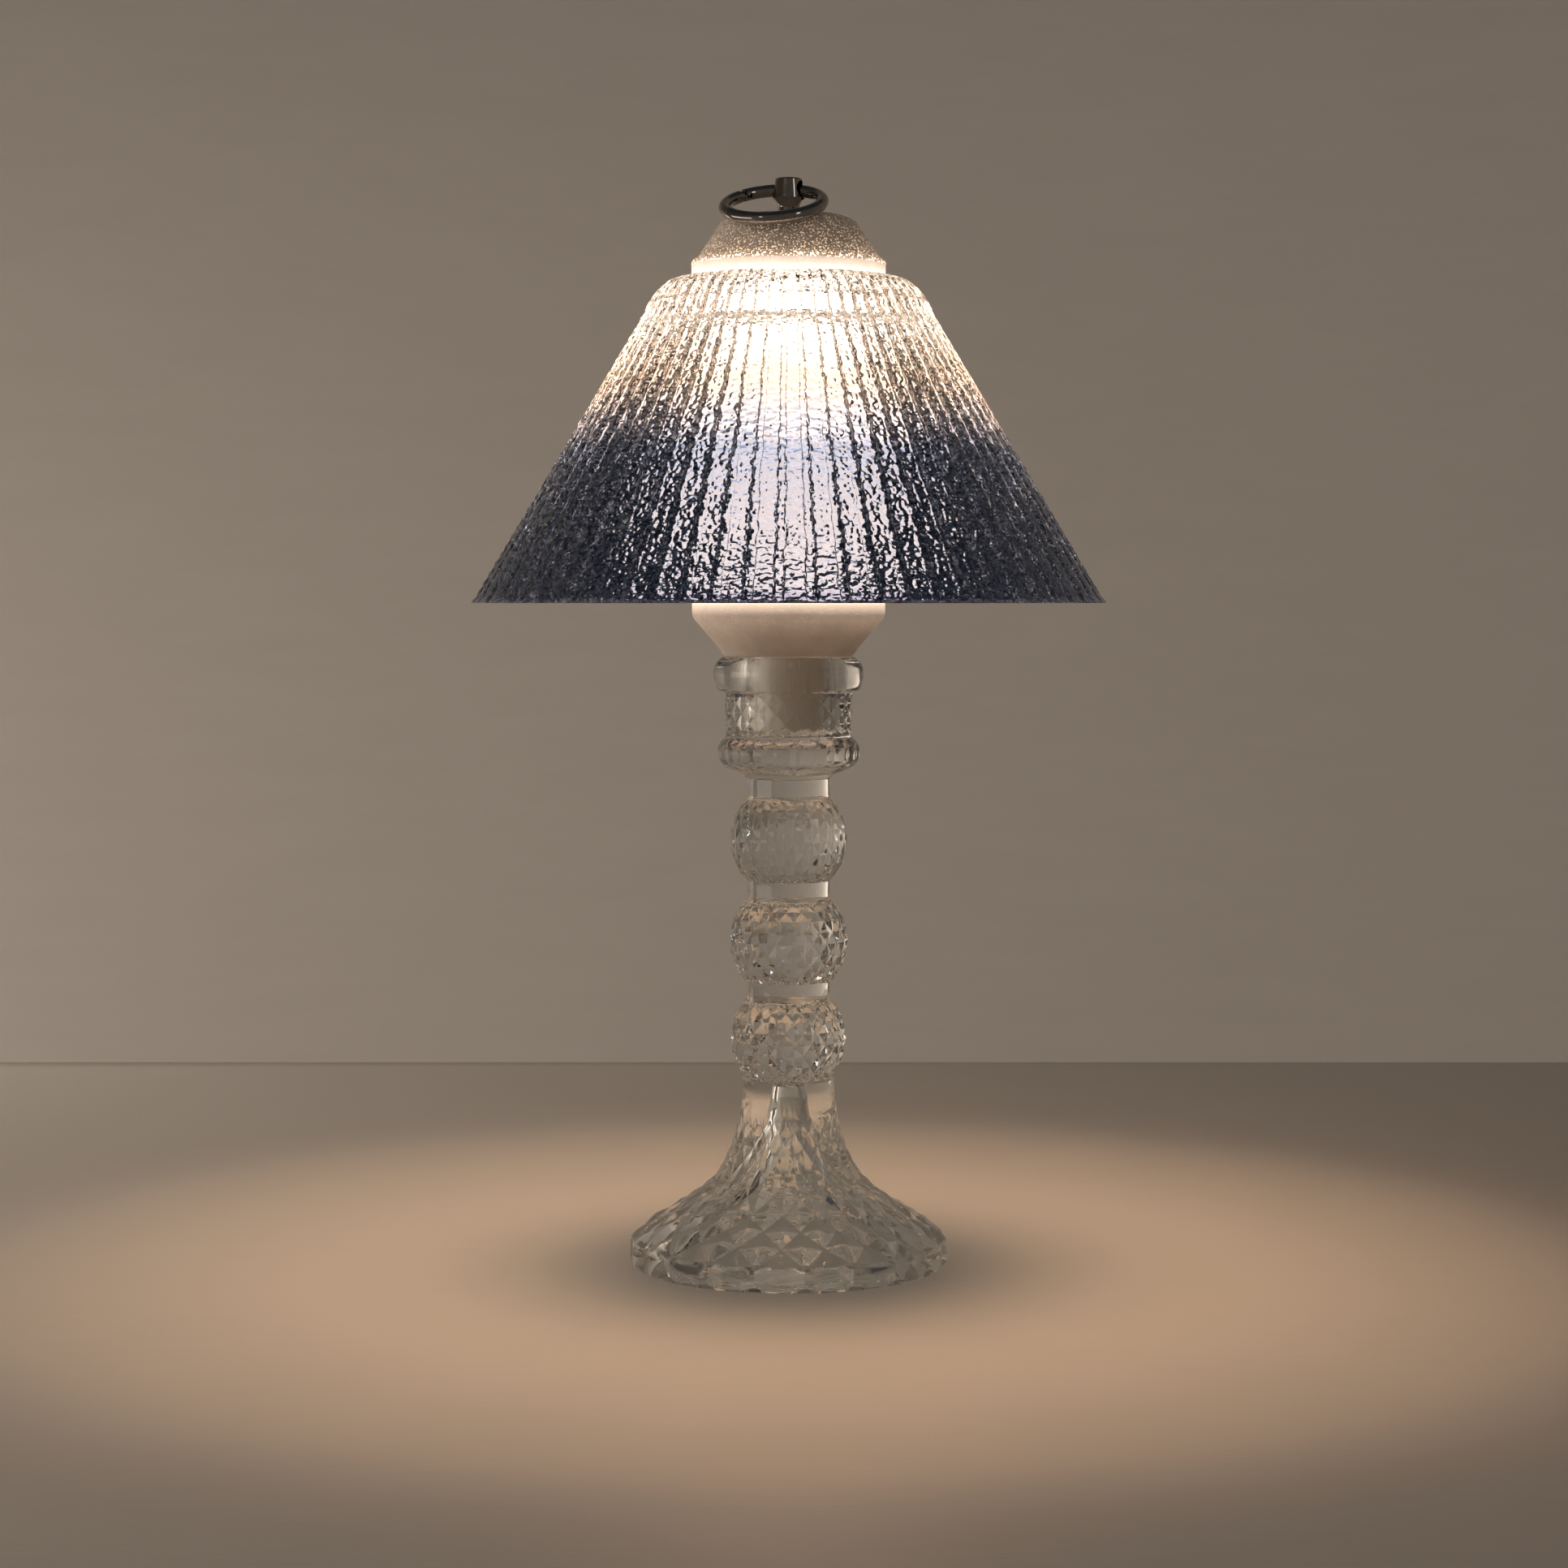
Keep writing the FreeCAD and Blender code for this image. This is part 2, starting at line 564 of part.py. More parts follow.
def shade_collar():
    """Clear channel-shaped collar: it sits on the tube's bead and carries the shade."""
    inner = TUBE_R + RUN_FIT
    low = LEDGE_Z + LEDGE_H + SEAT_GAP
    top = SHADE_COLLAR_TOP_Z
    return turned((inner, low), (inner + 1.6, low), (inner + 1.6, top - 1.6), (SHADE_COLLAR_R - 1.6, top - 1.6),
                  (SHADE_COLLAR_R - 1.6, low), (SHADE_COLLAR_R, low), (SHADE_COLLAR_R, top - 0.5),
                  (SHADE_COLLAR_R - 0.5, top), (inner, top))


def shade_outer_r(z):
    slope = (SHADE_RIM_R - SHADE_CONE_R) / (SHADE_CONE_Z - SHADE_RIM_Z)
    return SHADE_RIM_R - slope * (z - SHADE_RIM_Z)


def lamp_shade():
    """Moulded conical shade with pleats outside, a plain hem and an inturned lip at the top."""
    slope = (SHADE_RIM_R - SHADE_CONE_R) / (SHADE_CONE_Z - SHADE_RIM_Z)
    across = SHADE_WALL * math.sqrt(1 + slope ** 2)
    lip_z = SHADE_TOP_Z - 2.3
    body = turned((SHADE_RIM_R - across, SHADE_RIM_Z), (SHADE_RIM_R, SHADE_RIM_Z),
                  (SHADE_CONE_R, SHADE_CONE_Z),
                  [(38.9, 274.4), (33.7, 279.4)], [(31.5, 280.3), (29.0, SHADE_TOP_Z)],
                  (SHADE_HOLE_R, SHADE_TOP_Z), (SHADE_HOLE_R, lip_z), (SHADE_COLLAR_R + 1.0, lip_z),
                  [(36.0, 275.2), (SHADE_CONE_R - across, SHADE_CONE_Z)])
    tools = []
    low, high = SHADE_RIM_Z + SHADE_HEM, SHADE_CONE_Z + 1.0
    for i in range(PLEATS):
        rings = []
        for z in (low, high):
            r = shade_outer_r(z)
            half = 0.19 * 2 * math.pi * r / PLEATS
            out = r + 1.0
            wide = half * (PLEAT_DEPTH + 1.0) / PLEAT_DEPTH
            rings.append([vec(r - PLEAT_DEPTH, 0, z), vec(out, -wide, z), vec(out, wide, z)])
        tool = polyhedron(rings)
        tool.rotate(vec(0, 0, 0), UP, 360.0 * i / PLEATS)
        tools.append(tool)
    return body.cut(Part.makeCompound(tools))


# ---------------------------------------------------------------- output

NODES = {
    "candlestick_glass": candlestick_glass,
    "frosted_diffuser": frosted_diffuser,
    "frosted_top_cap": frosted_top_cap,
    "led_board": led_board,
    "led_chips": led_chips,
    "led_board_screws": led_board_screws,
    "battery_tube": battery_tube,
    "tube_end_cap": tube_end_cap,
    "tube_top_cap": tube_top_cap,
    "battery_cell": battery_cell,
    "negative_contact": negative_contact,
    "positive_contact": positive_contact,
    "control_board": control_board,
    "control_board_screws": control_board_screws,
    "usb_c_port": usb_c_port,
    "tact_switch": tact_switch,
    "switch_plunger": switch_plunger,
    "power_button": power_button,
    "battery_leads": battery_leads,
    "led_wires": led_wires,
    "hanging_post": hanging_post,
    "post_washer": post_washer,
    "post_screw": post_screw,
    "ring_body": ring_body,
    "gate_pin": gate_pin,
    "ring_gate": ring_gate,
    "shade_collar": shade_collar,
    "lamp_shade": lamp_shade,
}

os.makedirs(OUT, exist_ok=True)
for name, make in NODES.items():
    shape = make()
    shape.exportStep(os.path.join(OUT, name + ".step"))
    print(name, "solids", len(shape.Solids), "valid", shape.isValid(), "volume", round(shape.Volume, 1))
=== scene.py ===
import math

import bpy
import numpy as np
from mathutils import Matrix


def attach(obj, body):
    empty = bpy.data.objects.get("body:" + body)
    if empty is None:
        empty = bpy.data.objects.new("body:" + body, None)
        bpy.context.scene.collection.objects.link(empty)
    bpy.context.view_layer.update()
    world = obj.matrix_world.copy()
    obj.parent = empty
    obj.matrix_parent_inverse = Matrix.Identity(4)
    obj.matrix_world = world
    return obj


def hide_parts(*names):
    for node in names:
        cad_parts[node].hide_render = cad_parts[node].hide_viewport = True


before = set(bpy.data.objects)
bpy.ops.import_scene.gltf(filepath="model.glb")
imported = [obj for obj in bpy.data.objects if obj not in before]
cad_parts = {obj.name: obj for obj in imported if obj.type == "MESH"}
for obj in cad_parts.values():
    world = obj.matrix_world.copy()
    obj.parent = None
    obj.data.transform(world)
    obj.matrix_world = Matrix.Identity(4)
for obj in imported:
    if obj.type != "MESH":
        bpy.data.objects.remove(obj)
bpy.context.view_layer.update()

MM = 0.001
TURN = 2.0 * math.pi
SHADE_RIM = (89.85, 188.4)         # (r, z) of the shade's hem, in mm
SHADE_EDGE = (41.0, 270.0)         # (r, z) where its cone meets its shoulder
WALL_ACROSS = 2.68                 # its wall, measured level


# ---------------------------------------------------------------- curves and meshes


def smooth_curve(points, count):
    """Points spaced evenly along a Catmull-Rom curve through the given (r, z) points."""
    p = np.array(points, float)
    p = np.vstack([2 * p[0] - p[1], p, 2 * p[-1] - p[-2]])
    knots = np.concatenate([[0], np.cumsum(np.linalg.norm(np.diff(p, axis=0), axis=1) ** 0.5)])
    dense = []
    for i in range(1, len(p) - 2):
        t = np.linspace(knots[i], knots[i + 1], 40, endpoint=False)[:, None]
        k0, k1, k2, k3 = knots[i - 1:i + 3]
        a1 = (k1 - t) / (k1 - k0) * p[i - 1] + (t - k0) / (k1 - k0) * p[i]
        a2 = (k2 - t) / (k2 - k1) * p[i] + (t - k1) / (k2 - k1) * p[i + 1]
        a3 = (k3 - t) / (k3 - k2) * p[i + 1] + (t - k2) / (k3 - k2) * p[i + 2]
        b1 = (k2 - t) / (k2 - k0) * a1 + (t - k0) / (k2 - k0) * a2
        b2 = (k3 - t) / (k3 - k1) * a2 + (t - k1) / (k3 - k1) * a3
        dense.append((k2 - t) / (k2 - k1) * b1 + (t - k1) / (k2 - k1) * b2)
    dense = np.vstack(dense + [p[-2][None, :]])
    return resample(dense, count)


def resample(line, count, weight=None):
    """A polyline cut into count points, evenly by length, or by weight(r, z) times length."""
    line = np.array(line, float)
    step = np.linalg.norm(np.diff(line, axis=0), axis=1)
    if weight is not None:
        middle = (line[1:] + line[:-1]) / 2
        step = step * weight(middle[:, 0], middle[:, 1])
    along = np.concatenate([[0], np.cumsum(step)])
    at = np.linspace(0, along[-1], count)
    return np.stack([np.interp(at, along, line[:, k]) for k in (0, 1)], 1)


def arc_through(a, b, c, count):
    """Points on the circle arc from a through b to c."""
    (ax, ay), (bx, by), (cx, cy) = a, b, c
    d = 2 * (ax * (by - cy) + bx * (cy - ay) + cx * (ay - by))
    sa, sb, sc = ax * ax + ay * ay, bx * bx + by * by, cx * cx + cy * cy
    ox = (sa * (by - cy) + sb * (cy - ay) + sc * (ay - by)) / d
    oy = (sa * (cx - bx) + sb * (ax - cx) + sc * (bx - ax)) / d
    radius = math.hypot(ax - ox, ay - oy)
    start = math.atan2(ay - oy, ax - ox)
    middle = (math.atan2(by - oy, bx - ox) - start) % TURN
    end = (math.atan2(cy - oy, cx - ox) - start) % TURN
    if middle > end:
        end -= TURN
    angle = start + np.linspace(0, end, count)
    return np.stack([ox + radius * np.cos(angle), oy + radius * np.sin(angle)], 1)


def line_points(a, b, count):
    """Points spaced evenly on the straight line from a to b."""
    return np.linspace(a, b, count)


def outward(points):
    """Outward normals of an (r, z) line whose solid lies on its left."""
    t = np.gradient(points, axis=0)
    t /= np.maximum(np.linalg.norm(t, axis=1), 1e-9)[:, None]
    return np.stack([t[:, 1], -t[:, 0]], 1)


def make_object(name, verts, faces, material, crease=None):
    """An object from triangles, in millimetres. Edges sharper than crease degrees stay sharp."""
    mesh = bpy.data.meshes.new(name)
    mesh.vertices.add(len(verts))
    mesh.vertices.foreach_set("co", (np.asarray(verts) * MM).astype(np.float32).ravel())
    mesh.loops.add(faces.size)
    mesh.loops.foreach_set("vertex_index", faces.astype(np.int32).ravel())
    mesh.polygons.add(len(faces))
    mesh.polygons.foreach_set("loop_start", np.arange(0, faces.size, 3, dtype=np.int32))
    mesh.polygons.foreach_set("use_smooth", np.full(len(faces), True))
    mesh.update(calc_edges=True)
    mesh.validate()
    if crease is not None:
        mesh.set_sharp_from_angle(angle=math.radians(crease))
    mesh.materials.append(material)
    obj = bpy.data.objects.new(name, mesh)
    bpy.context.scene.collection.objects.link(obj)
    return obj


def band(low, high, flip=None):
    """Triangles between two rings of vertex numbers. high may hold half as many as low, or
    the other way round. flip says for each quad that its diagonal runs the other way."""
    n, m = len(low), len(high)
    if n == m:
        a, b = low, np.roll(low, -1)
        d, c = high, np.roll(high, -1)
        one = np.stack([np.stack([a, b, c], 1), np.stack([a, c, d], 1)], 1)
        two = np.stack([np.stack([a, b, d], 1), np.stack([b, c, d], 1)], 1)
        if flip is None:
            return one.reshape(-1, 3)
        return np.where(flip[:, None, None], two, one).reshape(-1, 3)
    if n == 2 * m:
        a, b, c = low[0::2], low[1::2], np.roll(low, -2)[0::2]
        d, e = high, np.roll(high, -1)
        return np.concatenate([np.stack(t, 1) for t in ((a, b, d), (b, e, d), (b, c, e))])
    if m == 2 * n:
        a, b = low, np.roll(low, -1)
        d, e, f = high[0::2], high[1::2], np.roll(high, -2)[0::2]
        return np.concatenate([np.stack(t, 1) for t in ((a, e, d), (a, b, e), (b, f, e))])
    raise ValueError("rings don't match")


NOISE_ROWS = 997                   # rows of random values before the noise repeats along v


def lattice_noise(u, v, wide, seed):
    """Smooth noise in -1..1 on a grid of random values that repeats every wide steps of u."""
    table = np.random.default_rng(seed).uniform(-1, 1, (wide, NOISE_ROWS))
    iu, iv = np.floor(u).astype(int), np.floor(v).astype(int)
    fu, fv = u - iu, v - iv
    fu, fv = fu * fu * (3 - 2 * fu), fv * fv * (3 - 2 * fv)
    at = lambda a, b: table[(iu + a) % wide, (iv + b) % NOISE_ROWS]
    low = at(0, 0) * (1 - fu) + at(1, 0) * fu
    high = at(0, 1) * (1 - fu) + at(1, 1) * fu
    return low * (1 - fv) + high * fv


# ---------------------------------------------------------------- materials

BLACK, WHITE = (0.0, 0.0, 0.0), (1.0, 1.0, 1.0)


class Finish:
    """One procedural material: a Principled shader and the nodes that feed it."""

    def __init__(self, name, **values):
        self.material = bpy.data.materials.new(name)
        self.material.use_nodes = True
        self.tree = self.material.node_tree
        self.shader = self.tree.nodes["Principled BSDF"]
        self.put(self.shader, values)
        self.place = self.add("ShaderNodeTexCoord").outputs["Object"]

    def put(self, node, values):
        """Links or sets a node's sockets, named with _ for a space or numbered."""
        for key, value in values.items():
            socket = node.inputs[key.replace("_", " ")] if isinstance(key, str) else node.inputs[key]
            if isinstance(value, bpy.types.NodeSocket):
                self.tree.links.new(value, socket)
            else:
                socket.default_value = value

    def add(self, kind, settings=None, **values):
        """A new node with its settings, and its sockets set or linked by name."""
        node = self.tree.nodes.new(kind)
        for key, value in (settings or {}).items():
            setattr(node, key, value)
        self.put(node, values)
        return node

    def math(self, operation, a, b=0.0, clamp=False):
        node = self.add("ShaderNodeMath", {"operation": operation, "use_clamp": clamp})
        self.put(node, {0: a, 1: b})
        return node.outputs[0]

    def stretched(self, scale):
        node = self.add("ShaderNodeMapping", Vector=self.place)
        node.inputs["Scale"].default_value = scale
        return node.outputs[0]

    def noise(self, scale, detail=3.0, roughness=0.55, stretch=None):
        vector = self.place if stretch is None else self.stretched(stretch)
        node = self.add("ShaderNodeTexNoise", Vector=vector, Scale=scale, Detail=detail,
                        Roughness=roughness)
        return node.outputs["Fac"]

    def cells(self, scale, feature="F1", stretch=None):
        vector = self.place if stretch is None else self.stretched(stretch)
        node = self.add("ShaderNodeTexVoronoi", {"feature": feature}, Vector=vector, Scale=scale)
        return node.outputs["Distance"]

    def height(self):
        """The object's z in metres."""
        return self.add("ShaderNodeSeparateXYZ", Vector=self.place).outputs["Z"]

    def from_axis(self):
        """The distance from the object's z axis in metres."""
        parts = self.add("ShaderNodeSeparateXYZ", Vector=self.place)
        x, y = parts.outputs["X"], parts.outputs["Y"]
        squares = self.math("ADD", self.math("MULTIPLY", x, x), self.math("MULTIPLY", y, y))
        return self.math("SQRT", squares)

    def remap(self, value, low, high, to_low=0.0, to_high=1.0, smooth=False):
        node = self.add(
            "ShaderNodeMapRange",
            {"interpolation_type": "SMOOTHSTEP" if smooth else "LINEAR"},
            Value=value,
        )
        limits = {"From Min": low, "From Max": high, "To Min": to_low, "To Max": to_high}
        for key, number in limits.items():
            node.inputs[key].default_value = number
        return node.outputs[0]

    def ramp(self, value, *stops):
        """A colour for each value, from (position, colour) stops."""
        node = self.add("ShaderNodeValToRGB", Fac=value)
        elements = node.color_ramp.elements
        while len(elements) < len(stops):
            elements.new(1.0)
        for element, (position, colour) in zip(elements, stops):
            element.position = position
            element.color = tuple(colour) + (1.0,)
        return node.outputs["Color"]

    def blend(self, share, a, b):
        """Colour a, mixed towards colour b by share."""
        settings = {"data_type": "RGBA", "blend_type": "MIX", "clamp_factor": True}
        node = self.add("ShaderNodeMix", settings)
        for key, value in ((0, share), (6, a), (7, b)):
            if isinstance(value, bpy.types.NodeSocket):
                self.tree.links.new(value, node.inputs[key])
            else:
                node.inputs[key].default_value = value if key == 0 else tuple(value) + (1.0,)
        return node.outputs[2]

    def bump(self, value, depth, strength=1.0, normal=None):
        node = self.add("ShaderNodeBump", Height=value, Distance=depth, Strength=strength)
        if normal is not None:
            self.tree.links.new(normal, node.inputs["Normal"])
        return node.outputs["Normal"]

    def lamp_rays_pass(self, tint):
        """Rays from lamps and dull surfaces go straight through this glass, coloured by tint."""
        clear = self.add("ShaderNodeBsdfTransparent", Color=tint)
        path = self.add("ShaderNodeLightPath")
        either = self.math("MAXIMUM", path.outputs["Is Shadow Ray"], path.outputs["Is Diffuse Ray"])
        mixed = self.add("ShaderNodeMixShader")
        output = self.tree.nodes["Material Output"]
        self.tree.links.new(either, mixed.inputs[0])
        self.tree.links.new(self.shader.outputs[0], mixed.inputs[1])
        self.tree.links.new(clear.outputs[0], mixed.inputs[2])
        self.tree.links.new(mixed.outputs[0], output.inputs["Surface"])

    def done(self, **values):
        """Sets the shader's sockets and hands over the material."""
        self.put(self.shader, values)
        return self.material


BORE_SKIN_R, BORE_SKIN_Z = 0.0114, 0.1505    # the bore that holds the lamp is scuffed, not polished


def crystal_glass():
    f = Finish("crystal_glass_finish", IOR=1.52, Transmission_Weight=1.0)
    grime = f.noise(90.0, 4.0)
    wave = f.noise(140.0, 2.0)
    fine = f.noise(900.0, 2.0)
    bump = f.bump(wave, 0.00012, 0.6)
    bump = f.bump(fine, 0.000012, 0.5, bump)
    f.lamp_rays_pass((0.97, 0.98, 0.975, 1.0))
    in_bore = f.math("MULTIPLY", f.math("LESS_THAN", f.from_axis(), BORE_SKIN_R),
                     f.math("GREATER_THAN", f.height(), BORE_SKIN_Z))
    scuffs = f.noise(500.0, 4.0, 0.6, (1.0, 1.0, 0.12))
    polished = f.remap(grime, 0.4, 0.8, 0.0, 0.03)
    worn = f.remap(scuffs, 0.35, 0.65, 0.10, 0.42)
    return f.done(
        Base_Color=f.ramp(grime, (0.3, (0.93, 0.96, 0.95)), (0.7, (0.985, 0.995, 0.99))),
        Roughness=f.math("ADD", polished, f.math("MULTIPLY", in_bore, worn)),
        Normal=bump,
    )


def clear_acrylic():
    f = Finish("clear_acrylic_finish", IOR=1.49, Transmission_Weight=1.0)
    wear = f.noise(300.0, 3.0)
    f.lamp_rays_pass((0.92, 0.92, 0.92, 1.0))
    return f.done(
        Base_Color=f.ramp(wear, (0.3, (0.95, 0.96, 0.96)), (0.7, (0.99, 0.99, 0.99))),
        Roughness=f.remap(wear, 0.35, 0.75, 0.02, 0.10),
        Normal=f.bump(wear, 0.00004, 0.4),
    )


SPRAY_TOP_Z = 0.256            # where the spray thins out at the top, in metres
SPRAY_FULL_Z = 0.237           # where it reaches its full colour
SPRAY_DRIFT = 0.012            # how far the spray's edge wanders up and down
SPRAY_SPECKLE = 0.010          # and how far its droplets scatter
SPRAY_EDGE = 0.006             # extra height over which it fades at each end
HEM_LINE_Z = (0.1908, 0.1896)  # the thicker hem looks darker below this
HAMMER_SHARE, WAVE_SHARE = 0.9, 0.7
RELIEF_DEPTH = 0.0013          # of the hammered relief, in metres
NAVY = (0.088, 0.136, 0.245)
HEM_BLUE = (0.068, 0.104, 0.22)
SMOKE = (0.50, 0.485, 0.47)
CLEAR = (0.95, 0.945, 0.93)
THIN_SPRAY = (0.25, 0.30, 0.40)


def shade_acrylic():
    f = Finish("shade_acrylic_finish", IOR=1.49, Specular_IOR_Level=0.06)
    z = f.height()
    # the distance out from the inner face of the cone, which is smooth: the relief is outside
    slope = (SHADE_RIM[0] - SHADE_EDGE[0]) / (SHADE_EDGE[1] - SHADE_RIM[1])
    from_cone = f.math("ADD", f.from_axis(), f.math("MULTIPLY", z, slope))
    inner_face = (SHADE_EDGE[0] + slope * SHADE_EDGE[1] - WALL_ACROSS) * MM
    outside = f.remap(from_cone, inner_face + 0.0002, inner_face + 0.0004)
    drift = f.math("MULTIPLY", f.math("SUBTRACT", f.noise(28.0, 3.0), 0.5), SPRAY_DRIFT)
    speck = f.math("MULTIPLY", f.math("SUBTRACT", f.noise(700.0, 2.0), 0.5), SPRAY_SPECKLE)
    level = f.math("ADD", z, f.math("ADD", drift, speck))
    share = f.remap(level, SPRAY_TOP_Z + SPRAY_EDGE, SPRAY_FULL_Z - SPRAY_EDGE)
    tint = f.ramp(share, (0.0, CLEAR), (0.4, SMOKE), (0.75, THIN_SPRAY), (1.0, NAVY))
    tint = f.blend(f.remap(level, *HEM_LINE_Z), tint, HEM_BLUE)
    hammer = f.cells(760.0, "SMOOTH_F1")
    fine = f.noise(420.0, 2.0)
    waves = f.noise(620.0, 1.0, 0.5, (0.55, 0.55, 1.5))
    hammer, waves = f.math("MULTIPLY", hammer, HAMMER_SHARE), f.math("MULTIPLY", waves, WAVE_SHARE)
    relief = f.math("ADD", hammer, waves)
    bump = f.bump(f.math("MULTIPLY", relief, outside), RELIEF_DEPTH, 0.9)
    f.lamp_rays_pass(tint)
    return f.done(
        Base_Color=tint,
        Transmission_Weight=1.0,
        Roughness=f.remap(fine, 0.3, 0.7, 0.02, 0.09),
        Normal=bump,
    )


# How bright the lit tube looks at each height in metres: the LEDs shine down it from the top.
GLOW_STEPS = (
    (0.1735, 0.0), (0.1785, 0.015), (0.1822, 0.10), (0.1850, 0.20), (0.1880, 1.0),
    (0.192, 9.2), (0.198, 12.4), (0.206, 11.0), (0.220, 9.6), (0.230, 10.4),
    (0.242, 4.8), (0.252, 3.1), (0.264, 2.8), (0.2785, 2.8), (0.2800, 1.9),
    (0.2815, 1.1), (0.2833, 0.7),
)
GLOW_MAX = 12.4
GLOW_COLOURS = (                   # from the tube's lower end up
    (0.08, (1.0, 0.74, 0.55)),
    (0.17, (1.0, 0.55, 0.30)),
    (0.50, (1.0, 0.56, 0.31)),
    (0.70, (1.0, 0.70, 0.51)),
    (0.95, (1.0, 0.77, 0.61)),
)


def glow_by_height(f, steps, brightest):
    """The share of the brightest glow at each height."""
    low, high = steps[0][0], steps[-1][0]
    stops = [((z - low) / (high - low), (level / brightest,) * 3) for z, level in steps]
    return f.ramp(f.remap(f.height(), low, high), *stops)


def frosted_plastic():
    f = Finish("frosted_plastic_finish", IOR=1.49)
    mottled = f.noise(160.0, 4.0)
    grit = f.cells(1700.0)
    sparkle = f.ramp(f.noise(2300.0, 1.0), (0.64, BLACK), (0.70, WHITE))
    edge = f.remap(f.height(), 0.1765, 0.1860, smooth=True)
    uneven = f.math("MULTIPLY", f.math("SUBTRACT", mottled, 0.5), 0.1)
    warmth = f.math("ADD", f.remap(f.height(), 0.18, 0.265), uneven, clamp=True)
    light = glow_by_height(f, GLOW_STEPS, GLOW_MAX)
    strength = f.math("MULTIPLY", light, f.remap(mottled, 0.3, 0.7, 0.93 * GLOW_MAX, 1.07 * GLOW_MAX))
    glints = f.math("MULTIPLY", sparkle, f.math("MULTIPLY", edge, 0.35))
    return f.done(
        Base_Color=f.ramp(mottled, (0.3, (0.72, 0.64, 0.575)), (0.7, (0.84, 0.75, 0.68))),
        Emission_Color=f.ramp(warmth, *GLOW_COLOURS),
        Emission_Strength=f.math("ADD", strength, glints),
        Roughness=f.remap(mottled, 0.3, 0.7, 0.42, 0.6),
        Normal=f.bump(grit, 0.00016, 0.6),
    )


# The cap is above the LEDs, so its glow fades within a few millimetres of its joint.
CAP_GLOW_STEPS = (
    (0.2807, 1.1), (0.2834, 0.50), (0.2845, 0.20), (0.2856, 0.11), (0.2870, 0.08), (0.2895, 0.05),
    (0.2935, 0.024), (0.2975, 0.011),
)
CAP_GLOW_MAX = 1.1
CAP_SPARKLE = 9.0                  # how much brighter its grains are


def frosted_cap():
    f = Finish("frosted_cap_finish", IOR=1.49)
    mottled = f.noise(220.0, 4.0)
    grit = f.cells(1500.0)
    sparkle = f.ramp(f.noise(1900.0, 0.0), (0.60, BLACK), (0.66, WHITE))
    glow = glow_by_height(f, CAP_GLOW_STEPS, CAP_GLOW_MAX)
    lit = f.math("MULTIPLY", glow, f.math("ADD", 1.0, f.math("MULTIPLY", sparkle, CAP_SPARKLE)))
    return f.done(
        Base_Color=f.ramp(mottled, (0.3, (0.62, 0.515, 0.44)), (0.7, (0.78, 0.66, 0.57))),
        Emission_Color=f.ramp(mottled, (0.3, (1.0, 0.66, 0.42)), (0.7, (1.0, 0.70, 0.46))),
        Emission_Strength=f.math("MULTIPLY", lit, CAP_GLOW_MAX),
        Roughness=f.remap(mottled, 0.3, 0.7, 0.35, 0.5),
        Normal=f.bump(grit, 0.0003, 0.9),
    )


def metal(name, colour, dark, rough, stretch, scale, depth=0.00002, metallic=1.0):
    """A metal whose lines run along its long direction."""
    f = Finish(name + "_finish", Metallic=metallic)
    lines = f.noise(scale, 5.0, 0.6, stretch)
    blotch = f.noise(120.0, 3.0)
    tone = f.ramp(lines, (0.3, dark), (0.7, colour))
    return f.done(
        Base_Color=f.blend(f.remap(blotch, 0.45, 0.7, 0.0, 0.4), tone, dark),
        Roughness=f.remap(lines, 0.3, 0.7, rough[0], rough[1]),
        Normal=f.bump(lines, depth, 0.5),
    )


def moulded(name, colour, dark, rough, grain=1400.0, depth=0.00003, **extra):
    """A moulded plastic or rubber with fine spark-eroded grain."""
    f = Finish(name + "_finish", IOR=1.5, **extra)
    grit = f.cells(grain)
    blotch = f.noise(150.0, 3.0)
    return f.done(
        Base_Color=f.ramp(blotch, (0.3, dark), (0.7, colour)),
        Roughness=f.remap(blotch, 0.3, 0.7, rough[0], rough[1]),
        Normal=f.bump(grit, depth, 0.5),
    )


def green_board():
    f = Finish("green_board_finish", IOR=1.5, Coat_Weight=0.3)
    tracks = f.cells(420.0, "DISTANCE_TO_EDGE", (1.0, 1.0, 0.4))
    copper = f.ramp(tracks, (0.05, (0.02, 0.16, 0.07)), (0.09, (0.035, 0.27, 0.11)))
    return f.done(
        Base_Color=copper,
        Roughness=f.remap(f.noise(500.0), 0.3, 0.7, 0.3, 0.45),
        Normal=f.bump(tracks, 0.00003, 0.5),
    )


